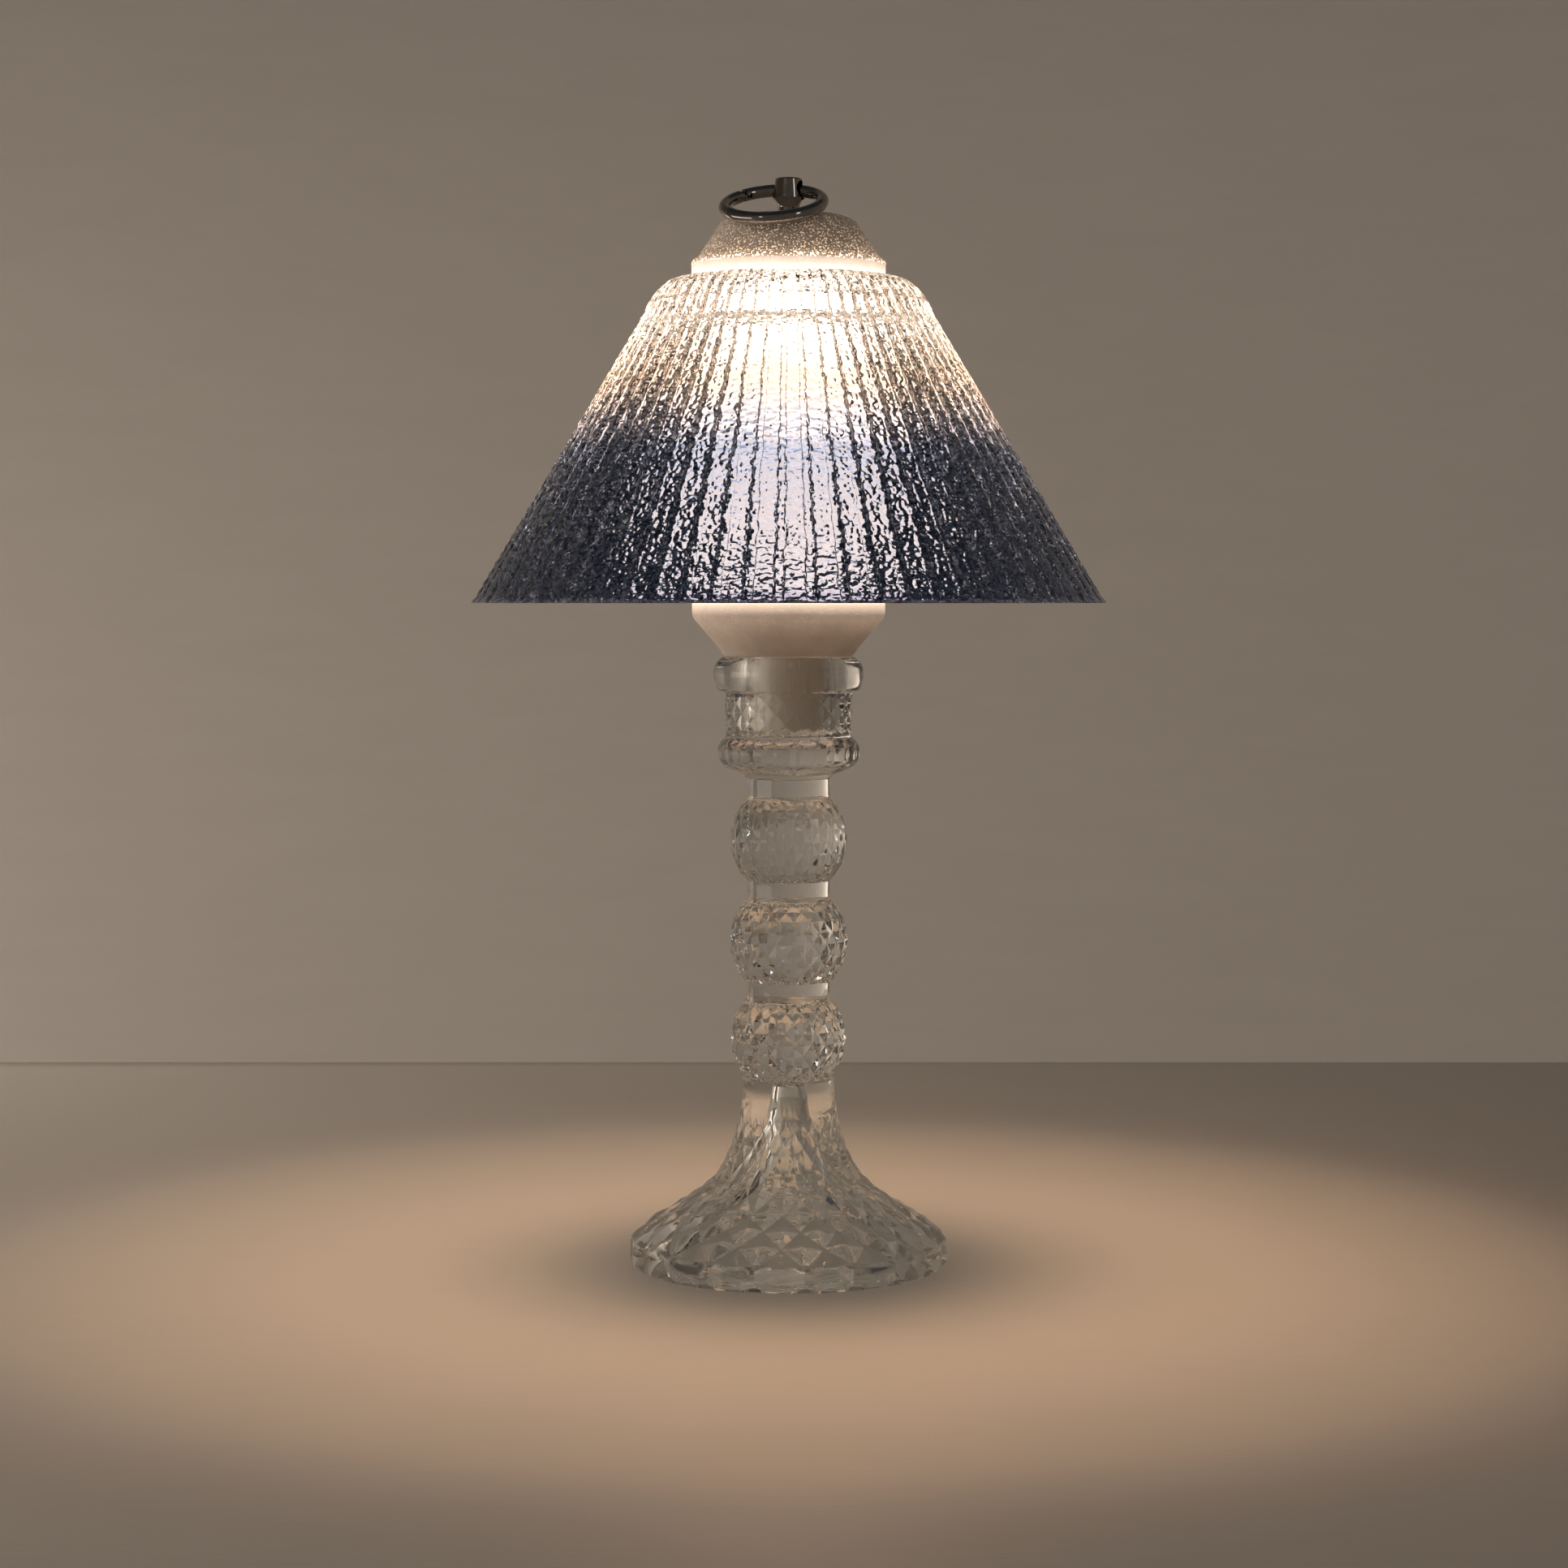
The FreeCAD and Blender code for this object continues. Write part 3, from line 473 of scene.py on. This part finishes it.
def finishes():
    """The finish for each material slot of the record."""
    upright = (1.0, 1.0, 0.06)
    return {
        "crystal_glass": crystal_glass(),
        "clear_acrylic": clear_acrylic(),
        "shade_acrylic": shade_acrylic(),
        "frosted_plastic": frosted_plastic(),
        "frosted_cap": frosted_cap(),
        "white_board": moulded("white_board", (0.9, 0.9, 0.88), (0.82, 0.82, 0.8), (0.3, 0.45)),
        "led_yellow": moulded("led_yellow", (0.95, 0.76, 0.2), (0.85, 0.62, 0.12), (0.2, 0.4), 2600.0),
        "zinc_steel": metal("zinc_steel", (0.66, 0.66, 0.62), (0.45, 0.46, 0.44), (0.28, 0.45),
                            (1.0, 1.0, 0.3), 700.0),
        "brushed_alu": metal("brushed_alu", (0.96, 0.90, 0.83), (0.86, 0.79, 0.72), (0.60, 0.80),
                             upright, 1500.0, metallic=0.3),
        "black_plastic": moulded("black_plastic", (0.03, 0.03, 0.033), (0.015, 0.015, 0.017),
                                 (0.35, 0.55)),
        "cell_wrap": moulded("cell_wrap", (0.05, 0.20, 0.42), (0.03, 0.14, 0.32), (0.2, 0.35),
                             300.0, 0.00002, Coat_Weight=0.4),
        "nickel": metal("nickel", (0.76, 0.73, 0.67), (0.55, 0.52, 0.47), (0.16, 0.32), upright, 900.0),
        "green_board": green_board(),
        "button_plastic": moulded("button_plastic", (0.82, 0.80, 0.76), (0.72, 0.70, 0.66),
                                  (0.38, 0.5)),
        "lead_red": moulded("lead_red", (0.55, 0.04, 0.03), (0.42, 0.03, 0.025), (0.45, 0.6)),
        "lead_white": moulded("lead_white", (0.82, 0.82, 0.8), (0.7, 0.7, 0.68), (0.45, 0.6)),
        "gunmetal": metal("gunmetal", (0.42, 0.405, 0.39), (0.32, 0.31, 0.30), (0.04, 0.12),
                          (1.0, 1.0, 1.0), 420.0, 0.000008),
    }


# ---------------------------------------------------------------- the crystal candlestick
# Lengths are in millimetres, and every (r, z) point is a radius and a height.

DIAMONDS = 20                 # diamonds round the stem, and lobes round the foot
CELL_STEPS = 6                # mesh columns to half a diamond
COLUMNS = 2 * DIAMONDS * CELL_STEPS
PATTERN_TURN = math.radians(-3.25)
FOOT_LOBE = 1.2               # how deep the scallops are round the foot
BEAD_LOBE = 0.55              # and round the bead under the cup
BEAD_LOW_Z = 100              # lobes below this are the foot's
SHARP_ANGLE = 20.0            # degrees: the ridges between the cut faces are sharper
RIDGE_ROUNDING = 0.12
RIPPLE_DEPTH = 0.05
RIPPLE_TOP_Z = 173
RIPPLE_SEED = 11
NEAR_TABLE_Z = 0.3            # the edge below this
MOST_CUT_BY_TABLE = 0.9       # is cut no deeper than this
FOOT_R = 45.6
FOOT_FLAT_R = 44.7            # the flat ring that stands on the table
CAVITY_R = 39                 # the hollow under the foot
CAVITY_TOP_Z = 53.3
BELL_PLAIN_Z = 44.0           # no diamonds above this
BELL_POINTS = ((45.0, 7.2), (43.5, 9), (38, 13), (29.3, 18.2), (21.4, 24.8), (17.3, 31.8),
               (14.7, 39.8), (13.3, 47.5))
CAVITY_POINTS = ((0, 53.2), (1.5, 53.05), (2.5, 52.4), (3.0, 51), (3.5, 46), (4.4, 39), (7, 30),
                 (13, 20), (27, 10), (36, 4), (CAVITY_R, 0))
BELL_TOP_R = 13.3
NECK_R = 11.9
BALLS = (                     # centre z, radius, lowest z, highest z, next neck's top z, cut depth
    (64.3, 16.6, 52.9, 75.3, 80.9, 0.80),
    (92.2, 17.0, 80.9, 103.8, 109.6, 0.66),
    (121.2, 16.8, 109.6, 132.8, 138.8, 0.42),
)
BALL_R = 17                   # the radius that the cut depths are for
BALL_LIP = 0.15               # the small step where a ball meets a neck
CUP_R, CUP_LOW_Z = 18.0, 151.7
RIM_POINTS = ((18.35, 163.0), (18.9, 163.25), (20.3, 163.9), (21.45, 168.8), (20.6, 171.6),
              (19.4, 172.9), (17.8, 173.4))
TOP_Z = 173.4
BORE_R = 11                   # the candle bore, which holds the lamp's plug
BORE_FLOOR_Z = 151


class Outline:
    """The candlestick's outline, from the middle of its hollow foot to the bore's floor."""

    def __init__(self):
        self.points, self.normals, self.pattern = [], [], []
        self.depth, self.lobe, self.half = [], [], []

    def run(self, points, pattern=None, depth=0.0, lobe=0.0, half=False):
        """Adds points. pattern holds each point's height in half-rows of diamonds."""
        points = np.array(points, float)
        n = len(points)
        normals = outward(points)
        skip = 1 if self.points and np.allclose(self.points[-1][-1], points[0], atol=1e-6) else 0
        full = lambda value: np.broadcast_to(np.asarray(value, float), n)[skip:]
        self.points.append(points[skip:])
        self.normals.append(normals[skip:])
        self.pattern.append(full(0.0 if pattern is None else pattern))
        self.depth.append(full(depth))
        self.lobe.append(full(lobe))
        self.half.append(np.full(n, half)[skip:])

    def whole(self, part):
        return np.concatenate(getattr(self, part))


def diamond_run(line, half_rows, depth, fade=(0.35, 0.35), spread=1.0):
    """Points for half_rows half-rows of diamonds along a line. Rows are as tall as r ** spread."""
    count = half_rows * CELL_STEPS + 1
    points = resample(line, count, lambda r, z: r ** -spread)
    v = np.arange(count) / CELL_STEPS
    rise = np.ones(count)
    if fade[0]:
        rise = np.minimum(rise, v / fade[0])
    if fade[1]:
        rise = np.minimum(rise, (half_rows - v) / fade[1])
    return points, v, depth(points[:, 0]) * rise


def candlestick_outline():
    """The outline from the hollow under the foot, up the outside and down into the bore."""
    o = Outline()
    o.run(smooth_curve(CAVITY_POINTS, 34)[1:], half=True)
    o.run(line_points((CAVITY_R, 0), (FOOT_FLAT_R, 0), 3), half=True)
    o.run(arc_through((FOOT_FLAT_R, 0), (45.34, 0.26), (FOOT_R, 0.9), 4), lobe=(0.7, 0.8, 0.9, 1.0))
    o.run(line_points((FOOT_R, 0.9), (FOOT_R, 5.5), 5), lobe=1.0)
    o.run(arc_through((FOOT_R, 5.5), (45.42, 6.45), BELL_POINTS[0], 4), lobe=(1.0, 1.0, 0.9, 0.5))
    bell = smooth_curve(BELL_POINTS, 400)
    plain = bell[:, 1] > BELL_PLAIN_Z
    points, v, depth = diamond_run(bell[~plain], 9, lambda r: 0.024 * r + 0.16, (0, 1.2), 0.5)
    o.run(points, v, depth)
    o.run(resample(bell[plain], 5))
    o.run(line_points(BELL_POINTS[-1], (BELL_TOP_R, 52.7), 4))
    for centre, radius, low, high, neck_top, cut in BALLS:
        start, end = math.asin((low - centre) / radius), math.asin((high - centre) / radius)
        latitude = np.linspace(start, end, 200)
        ball = np.stack([radius * np.cos(latitude), centre + radius * np.sin(latitude)], 1)
        points, v, depth = diamond_run(ball, 8, lambda r, cut=cut: cut * r / BALL_R)
        o.run([o.points[-1][-1] + (0, 0.1), points[0] - (BALL_LIP, 0.0)])
        o.run(points, v, depth)
        o.run([points[-1] - (BALL_LIP, 0.0), (NECK_R, high + BALL_LIP)])
        o.run(line_points((NECK_R, high + BALL_LIP), (NECK_R, neck_top - 0.25), 4))
    o.run(((NECK_R + 0.1, neck_top), (12.4, 139.15), (12.9, 139.7), (15.3, 140.6), (17.6, 141.6)))
    o.run(arc_through((17.6, 141.6), (20.4, 145.7), (18.3, 150.2), 14),
          lobe=np.sin(np.linspace(0, math.pi, 14)) ** 0.5)
    o.run(((18.3, 150.2), (18.02, 150.9), (CUP_R, CUP_LOW_Z)))
    cup = ((CUP_R, CUP_LOW_Z), RIM_POINTS[0])
    points, v, depth = diamond_run(cup, 4, lambda r: np.full(r.shape, 0.55))
    o.run(points, v, depth)
    o.run(smooth_curve(RIM_POINTS, 22))
    o.run(line_points(RIM_POINTS[-1], (BORE_R + 1, TOP_Z), 4))
    o.run(smooth_curve(((BORE_R + 1, TOP_Z), (11.3, 173.1), (BORE_R, 172.4)), 4), half=True)
    o.run(line_points((BORE_R, 172.4), (BORE_R, BORE_FLOOR_Z + 1), 8), half=True)
    o.run(smooth_curve(((BORE_R, BORE_FLOOR_Z + 1), (10.7, 151.3), (BORE_R - 1, BORE_FLOOR_Z)), 4),
          half=True)
    o.run(line_points((BORE_R - 1, BORE_FLOOR_Z), (1, BORE_FLOOR_Z), 4), half=True)
    return o


def soft_fold(f):
    """Rounds the ridges of the diamonds a little."""
    return f - RIDGE_ROUNDING * np.sin(TURN * f) / TURN


def candlestick_mesh(material):
    """The candlestick as one closed shell, from the top of its hollow foot to the bore's floor."""
    o = candlestick_outline()
    points, normals = o.whole("points"), o.whole("normals")
    v, depth, lobe, half = o.whole("pattern"), o.whole("depth"), o.whole("lobe"), o.whole("half")
    u = np.arange(COLUMNS) / CELL_STEPS
    theta = u * TURN / (2 * DIAMONDS) + PATTERN_TURN
    cu, cv = np.floor(u + 1e-9), np.floor(v + 1e-9)
    fu, fv = soft_fold(u - cu)[None, :], soft_fold(v - cv)[:, None]
    odd = (cu[None, :] + cv[:, None]) % 2 == 1
    height = np.where(odd, np.abs(fu - fv), np.abs(1 - fu - fv))
    from_lobe = (u + 1) % 2 - 1
    level = points[:, 1]
    lobes = np.where(level < BEAD_LOW_Z, FOOT_LOBE, BEAD_LOBE) * lobe
    push = depth[:, None] * (height - 1) - lobes[:, None] * from_lobe[None, :] ** 2
    # the pressed glass is nowhere quite true: a slow ripple round and along it
    ripple = lattice_noise(np.broadcast_to(u[None, :] * 0.5, push.shape),
                           np.broadcast_to(level[:, None] * 0.22 + 40, push.shape),
                           DIAMONDS, RIPPLE_SEED)
    push = push + np.where(level < RIPPLE_TOP_Z, RIPPLE_DEPTH, 0.0)[:, None] * (ripple - 1)
    near_table = level < NEAR_TABLE_Z
    push[near_table] = np.maximum(push[near_table], -MOST_CUT_BY_TABLE)
    on_table = level <= 1e-6
    push[on_table] = 0.0
    r = points[:, :1] + push * normals[:, :1]
    z = points[:, 1:] + push * normals[:, 1:]
    verts, rings = [], []
    start = 0
    for i in range(len(points)):
        step = 2 if half[i] else 1
        ring = np.stack([r[i] * np.sin(theta), -r[i] * np.cos(theta), z[i]], 1)
        verts.append(ring[::step])
        rings.append(start + np.arange(COLUMNS // step))
        start += COLUMNS // step
    poles = (start, start + 1)
    verts.append(np.array([[0, 0, CAVITY_TOP_Z], [0, 0, BORE_FLOOR_Z]]))
    faces = []
    for i in range(len(rings) - 1):
        flip = None
        if len(rings[i]) == len(rings[i + 1]) == COLUMNS:
            flip = ~odd[i]
        faces.append(band(rings[i], rings[i + 1], flip))
    first, last = rings[0], rings[-1]
    faces.append(np.stack([np.full(len(first), poles[0]), np.roll(first, -1), first], 1))
    faces.append(np.stack([last, np.roll(last, -1), np.full(len(last), poles[1])], 1))
    return make_object("candlestick_detail", np.vstack(verts), np.vstack(faces), material, SHARP_ANGLE)


# ---------------------------------------------------------------- the pleated shade

PLEATS = 66
# Places across one pleat are shares of its width. The groove's depths are shares of PLEAT_DEPTH.
PLEAT_COLUMNS = (-0.11, 0.11, 0.155, 0.20, 0.32, 0.44, 0.56, 0.68, 0.80, 0.845)    # of the mesh
GROOVE_AT = (-0.11, 0.11, 0.155, 0.20, 0.80, 0.845, 0.89)
GROOVE_DEPTH = (-1, -1, -0.5, 0, 0, -0.5, -1)
FACE_AT = (0.20, 0.32, 0.68, 0.80)
FACE_RIPPLE = (0.6, 1.0, 1.0, 0.6)    # the ripples fade towards the grooves
PLEAT_TURN = math.radians(1.2)     # the front pleat's middle, to the right of the front
PLEAT_DEPTH = 1.6                  # in mm, like all lengths of the shade
PLEAT_CROWN = 0.06
RIPPLE_PITCH = 3.1                 # from one rung of the ladder of ripples to the next
CONE_ROWS = 120
TOP_HOLE_R = 28.2
LEDGE_Z = 266.5                    # the ledge inside the shoulder, seen through it as a line
HEM_UP = 1.5                       # the hem's rounded edge
SHIFT_SEED, WANDER_SEED, BLOB_SEED, STRENGTH_SEED, WALL_SEED, SWAY_SEED = 5, 21, 22, 23, 24, 25
SWAY = 0.05 / 9.0                  # how far the pleats lean to the sides, in radians


def shade_outline():
    """(points, pleat depth share, ripple share, ring has half the columns) from the hem up the
    outside, over the top and down the inside."""
    rim_r, rim_z = SHADE_RIM
    hem = (rim_r - 0.9, rim_z + HEM_UP)
    cone = line_points(hem, SHADE_EDGE, CONE_ROWS)
    shoulder = arc_through(SHADE_EDGE, (38.9, 274.3), (33.7, 279.1), 10)
    lip = arc_through((33.7, 279.1), (31.5, 279.6), (29.0, 279.7), 5)
    hole = ((28.5, 279.6), (TOP_HOLE_R, 279.3), (TOP_HOLE_R, 278.7), (28.5, 278.25))
    under_lip = ((29.4, 278.2), (31.5, 278.2), (33.5, 278.2))
    ledge = ((35.3, 276.6), (36.6, 274.4), (37.9, 270.2), (38.6, 267.0), (38.75, 266.55),
             (40.3, LEDGE_Z))
    inside_top = (SHADE_EDGE[0] - WALL_ACROSS + 2.1, LEDGE_Z)
    inside = line_points(inside_top, (rim_r - 2.95, rim_z + 0.6), 18)
    parts = [
        (line_points(SHADE_RIM, hem, 3)[:-1], (0.12, 0.3), 0.2, False),
        (cone, 1.0, 1.0, False),
        (shoulder[1:], np.linspace(1.0, 0.85, 9), np.linspace(1.0, 0.6, 9), False),
        (lip[1:], (0.7, 0.45, 0.2, 0.0), (0.4, 0.2, 0.1, 0.0), False),
        (hole, 0.0, 0.0, True),
        (under_lip, 0.0, 0.0, True),
        (ledge, 0.0, 0.1, True),
        (inside[1:], 0.0, 0.15, True),
        (((rim_r - 2.4, rim_z + 0.05), (rim_r - 1.4, rim_z)), 0.0, 0.0, True),
    ]
    points, pleat, ripple, half = [], [], [], []
    for line, depth, wave, halved in parts:
        n = len(line)
        points.append(np.array(line, float))
        pleat.append(np.broadcast_to(np.asarray(depth, float), n))
        ripple.append(np.broadcast_to(np.asarray(wave, float), n))
        half.append(np.full(n, halved))
    return tuple(np.concatenate(x) for x in (points, pleat, ripple, half))


def shade_mesh(material):
    """The shade as one closed shell, pleated and rippled outside and nearly smooth inside."""
    points, pleat, ripple, half = shade_outline()
    loop = np.vstack([points[-1:], points, points[:1]])
    normals = outward(loop)[1:-1]
    across = np.array(PLEAT_COLUMNS)
    p = np.tile(across, PLEATS)
    number = np.repeat(np.arange(PLEATS), len(across))
    theta = (number + p - 0.5) * TURN / PLEATS + PLEAT_TURN
    groove = np.interp(p, GROOVE_AT, GROOVE_DEPTH)
    on_face = groove > -0.25
    face = np.interp(p, FACE_AT, FACE_RIPPLE) * on_face
    crown = -PLEAT_CROWN * ((p - 0.5) / 0.3) ** 2 * on_face
    slant = np.concatenate([[0], np.cumsum(np.linalg.norm(np.diff(points, axis=0), axis=1))])
    s = slant[:, None]
    shape = (len(points), len(theta))
    u = np.broadcast_to((number + p)[None, :], shape)

    def uneven(per_pleat, length, seed):
        """Smooth noise with this many steps to a pleat, and steps this long along the wall."""
        steps = int(PLEATS * per_pleat)
        return lattice_noise(u * per_pleat, np.broadcast_to(s / length, shape), steps, seed)

    shift = np.random.default_rng(SHIFT_SEED).uniform(0, 1, PLEATS)[number][None, :]
    wander = uneven(1.0, 5.0, WANDER_SEED)
    ladder = np.sin(TURN * (s / RIPPLE_PITCH + shift + 0.35 * wander))
    strong = 0.65 + 0.35 * uneven(0.5, 11.0, STRENGTH_SEED)
    wave = 0.26 * ladder * strong + 0.20 * uneven(3.0, 1.9, BLOB_SEED) - 0.46
    walls = 0.18 * uneven(2.0, 2.6, WALL_SEED) - 0.10
    push = pleat[:, None] * (PLEAT_DEPTH * groove + crown)[None, :]
    push = push + ripple[:, None] * np.where(on_face[None, :], wave * face[None, :], walls)
    r = points[:, :1] + push * normals[:, :1]
    z = points[:, 1:] + push * normals[:, 1:]
    angle = theta[None, :] + SWAY * ripple[:, None] * uneven(2.0, 3.3, SWAY_SEED)
    verts, rings, start = [], [], 0
    for i in range(len(points)):
        step = 2 if half[i] else 1
        ring = np.stack([r[i] * np.sin(angle[i]), -r[i] * np.cos(angle[i]), z[i]], 1)[::step]
        verts.append(ring)
        rings.append(start + np.arange(len(ring)))
        start += len(ring)
    faces = [band(rings[i], rings[(i + 1) % len(rings)]) for i in range(len(rings))]
    return make_object("shade_detail", np.vstack(verts), np.vstack(faces), material)


# ---------------------------------------------------------------- floor, light and camera


def stage_material(name, light, dark, stretch, scale, rough):
    """Paint with a fine grain, stretched one way, and faint clouds."""
    f = Finish(name)
    grain = f.noise(scale, 6.0, 0.6, stretch)
    cloud = f.noise(3.0, 2.0)
    tone = f.ramp(grain, (0.35, dark), (0.65, light))
    return f.done(
        Base_Color=f.blend(f.remap(cloud, 0.3, 0.7, 0.0, 0.25), tone, dark),
        Roughness=f.remap(grain, 0.3, 0.7, rough[0], rough[1]),
        Normal=f.bump(grain, 0.0002, 0.3),
    )


def plain_object(name, verts, faces, material):
    """A smooth-shaded object from points in metres."""
    mesh = bpy.data.meshes.new(name)
    mesh.from_pydata(verts, [], faces)
    mesh.materials.append(material)
    for polygon in mesh.polygons:
        polygon.use_smooth = True
    obj = bpy.data.objects.new(name, mesh)
    bpy.context.scene.collection.objects.link(obj)
    return obj


TABLE_HALF = (0.46, 0.391)      # half its width and half its depth, in metres
WALL_R = 1.32


def table_top(material):
    """A slab with rounded corners whose top is the floor that the lamp stands on."""
    corner, steps, thick = 0.03, 8, 0.025
    rim = []
    for k in range(4):
        cx = (TABLE_HALF[0] - corner) * (1 if k in (0, 3) else -1)
        cy = (TABLE_HALF[1] - corner) * (1 if k in (0, 1) else -1)
        for i in range(steps + 1):
            a = math.pi / 2 * (k + i / steps)
            rim.append((cx + corner * math.cos(a), cy + corner * math.sin(a)))
    n = len(rim)
    verts, faces = [], []
    for inset, z in ((0.0015, 0.0), (0.0, -0.0015), (0.0, -thick)):
        for x, y in rim:
            verts.append((x * (1 - inset / TABLE_HALF[0]), y * (1 - inset / TABLE_HALF[1]), z))
    for level in range(2):
        for i in range(n):
            j = (i + 1) % n
            a, b = level * n, (level + 1) * n
            faces.append((a + j, a + i, b + i, b + j))
    faces.append(tuple(range(n)))
    faces.append(tuple(reversed(range(2 * n, 3 * n))))
    return plain_object("table_top", verts, faces, material)


def backdrop(material):
    """A round seamless backdrop: floor, cove and wall, open at the top."""
    floor_z, cove, top, columns = -0.45, 0.25, 1.7, 128
    outline = [(0.0001, floor_z), (WALL_R - cove, floor_z)]
    for i in range(1, 13):
        a = math.pi / 2 * i / 12
        outline.append((WALL_R - cove + cove * math.sin(a), floor_z + cove - cove * math.cos(a)))
    outline.append((WALL_R, top))
    verts, faces = [], []
    for r, z in outline:
        for j in range(columns):
            verts.append((r * math.cos(TURN * j / columns), r * math.sin(TURN * j / columns), z))
    for i in range(len(outline) - 1):
        for j in range(columns):
            k = (j + 1) % columns
            a, b = i * columns, (i + 1) * columns
            faces.append((a + j, a + k, b + k, b + j))
    return plain_object("backdrop", verts, faces, material)


def area_light(name, place, aim, size, power, colour, in_glass=True, on_dull=True):
    """A soft light. With in_glass off it lights dull surfaces only, and no reflection shows it.
    With on_dull off it is a card that shows only in glass and metal."""
    data = bpy.data.lights.new(name, "AREA")
    data.shape = "RECTANGLE"
    data.size, data.size_y = size
    data.energy = power
    data.color = colour
    obj = bpy.data.objects.new(name, data)
    bpy.context.scene.collection.objects.link(obj)
    obj.location = place
    direction = np.array(aim, float) - np.array(place, float)
    tilt = math.atan2(-direction[2], math.hypot(direction[0], direction[1]))
    heading = math.atan2(direction[1], direction[0])
    obj.rotation_euler = (math.pi / 2 - tilt, 0.0, heading - math.pi / 2)
    obj.visible_camera = False
    obj.visible_glossy = in_glass
    obj.visible_transmission = in_glass
    obj.visible_diffuse = on_dull


BEAMS = 18
BEAM_RING_R, BEAM_Z = 0.031, 0.249
BEAM_POWER = 0.5
BEAM_COLOUR = (1.0, 0.67, 0.43)
BEAM_ANGLE, BEAM_LEAN = 52, 25     # degrees
BEAM_RADIUS = 0.012
MORE_TO_FRONT = 0.12               # the front beams are this much stronger
LEAN_TO_FRONT = 3                  # and lean out this much more


def tube_beams():
    """The tube sends most of its light down and out, through the shade's open bottom. These soft
    beams stand for it, since a glowing surface shines evenly all ways."""
    for i in range(BEAMS):
        a = TURN * (i + 0.5) / BEAMS
        towards_front = max(0.0, -math.sin(a))
        data = bpy.data.lights.new(f"tube_beam_{i}", "SPOT")
        data.energy = BEAM_POWER * (1.0 + MORE_TO_FRONT * towards_front)
        data.color = BEAM_COLOUR
        data.spot_size = math.radians(BEAM_ANGLE)
        data.spot_blend = 1.0
        data.shadow_soft_size = BEAM_RADIUS
        obj = bpy.data.objects.new(data.name, data)
        bpy.context.scene.collection.objects.link(obj)
        obj.location = (BEAM_RING_R * math.cos(a), BEAM_RING_R * math.sin(a), BEAM_Z)
        obj.rotation_euler = (0.0, math.radians(-BEAM_LEAN - LEAN_TO_FRONT * towards_front), a)
        obj.visible_camera = False
        obj.visible_glossy = False
        obj.visible_transmission = False


WASH, WARM = (1.0, 0.89, 0.78), (1.0, 0.88, 0.76)
DAYLIGHT, PALE_BLUE = (0.80, 0.91, 1.0), (0.92, 0.96, 1.0)
ROOM_COLOUR, ROOM_STRENGTH = (0.90, 0.95, 1.0, 1.0), 0.035


def set_the_stage():
    table = stage_material("table_paint", (0.80, 0.735, 0.655), (0.77, 0.705, 0.625),
                           (0.05, 1.0, 1.0), 700.0, (0.42, 0.55))
    wall = stage_material("wall_paint", (0.64, 0.60, 0.56), (0.62, 0.58, 0.54),
                          (0.2, 0.2, 1.0), 60.0, (0.7, 0.85))
    table_top(table)
    backdrop(wall)
    area_light("wall_wash", (-1.05, 0.42, 0.0), (-0.05, 1.3, 0.18), (0.30, 0.30), 4.9, WASH,
               in_glass=False)
    area_light("key_left", (-1.1, -0.35, 0.55), (0.1, -0.25, 0.15), (1.1, 1.0), 4.0, WARM,
               in_glass=False)
    area_light("low_card", (-1.1, -0.35, 0.14), (0.0, 0.0, 0.12), (1.1, 0.36), 1.6, WARM,
               on_dull=False)
    area_light("window_front", (-0.55, -1.05, 0.62), (0.0, 0.0, 0.15), (0.12, 0.26), 0.2, DAYLIGHT)
    area_light("strip_right", (0.75, -0.75, 0.75), (0.0, 0.0, 0.28), (0.14, 0.4), 0.3, PALE_BLUE)
    tube_beams()
    world = bpy.data.worlds.new("room")
    world.use_nodes = True
    background = world.node_tree.nodes["Background"]
    background.inputs["Color"].default_value = ROOM_COLOUR
    background.inputs["Strength"].default_value = ROOM_STRENGTH
    bpy.context.scene.world = world


CAMERA_PLACE = (-0.0013, -0.900, 0.1891)
CAMERA_LENS = 72.67
LOOK_DOWN = 3.317                  # degrees


def set_camera():
    """The photograph's view: level with the shade, looking slightly down."""
    data = bpy.data.cameras.new("photo_view")
    data.sensor_width = 36.0
    data.lens = CAMERA_LENS
    data.clip_start = 0.02
    camera = bpy.data.objects.new("photo_view", data)
    bpy.context.scene.collection.objects.link(camera)
    camera.location = CAMERA_PLACE
    camera.rotation_euler = (math.radians(90 - LOOK_DOWN), 0.0, 0.0)
    bpy.context.scene.camera = camera


def set_view():
    """Plain colours, and enough bounces for light to cross the glass."""
    scene = bpy.context.scene
    scene.view_settings.view_transform = "Standard"
    scene.view_settings.look = "None"
    scene.cycles.use_denoising = True
    scene.cycles.max_bounces = 16
    scene.cycles.transmission_bounces = 16
    scene.cycles.transparent_max_bounces = 24
    scene.cycles.glossy_bounces = 6
    scene.cycles.diffuse_bounces = 3
    scene.cycles.caustics_refractive = False
    scene.cycles.caustics_reflective = False
    scene.cycles.sample_clamp_indirect = 6.0


# ---------------------------------------------------------------- putting it together


def build():
    """Stages the scene, finishes the CAD pieces and adds the two that replace CAD nodes."""
    set_camera()
    set_view()
    set_the_stage()
    finish = finishes()
    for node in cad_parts.values():
        for slot in node.material_slots:
            slot.material = finish[slot.material.name]
    stick = candlestick_mesh(finish["crystal_glass"])
    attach(stick, "candlestick")
    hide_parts("candlestick_glass")
    shade = shade_mesh(finish["shade_acrylic"])
    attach(shade, "shade")
    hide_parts("lamp_shade")
    for obj in (stick, shade):
        print(obj.name, len(obj.data.polygons), "triangles")


build()
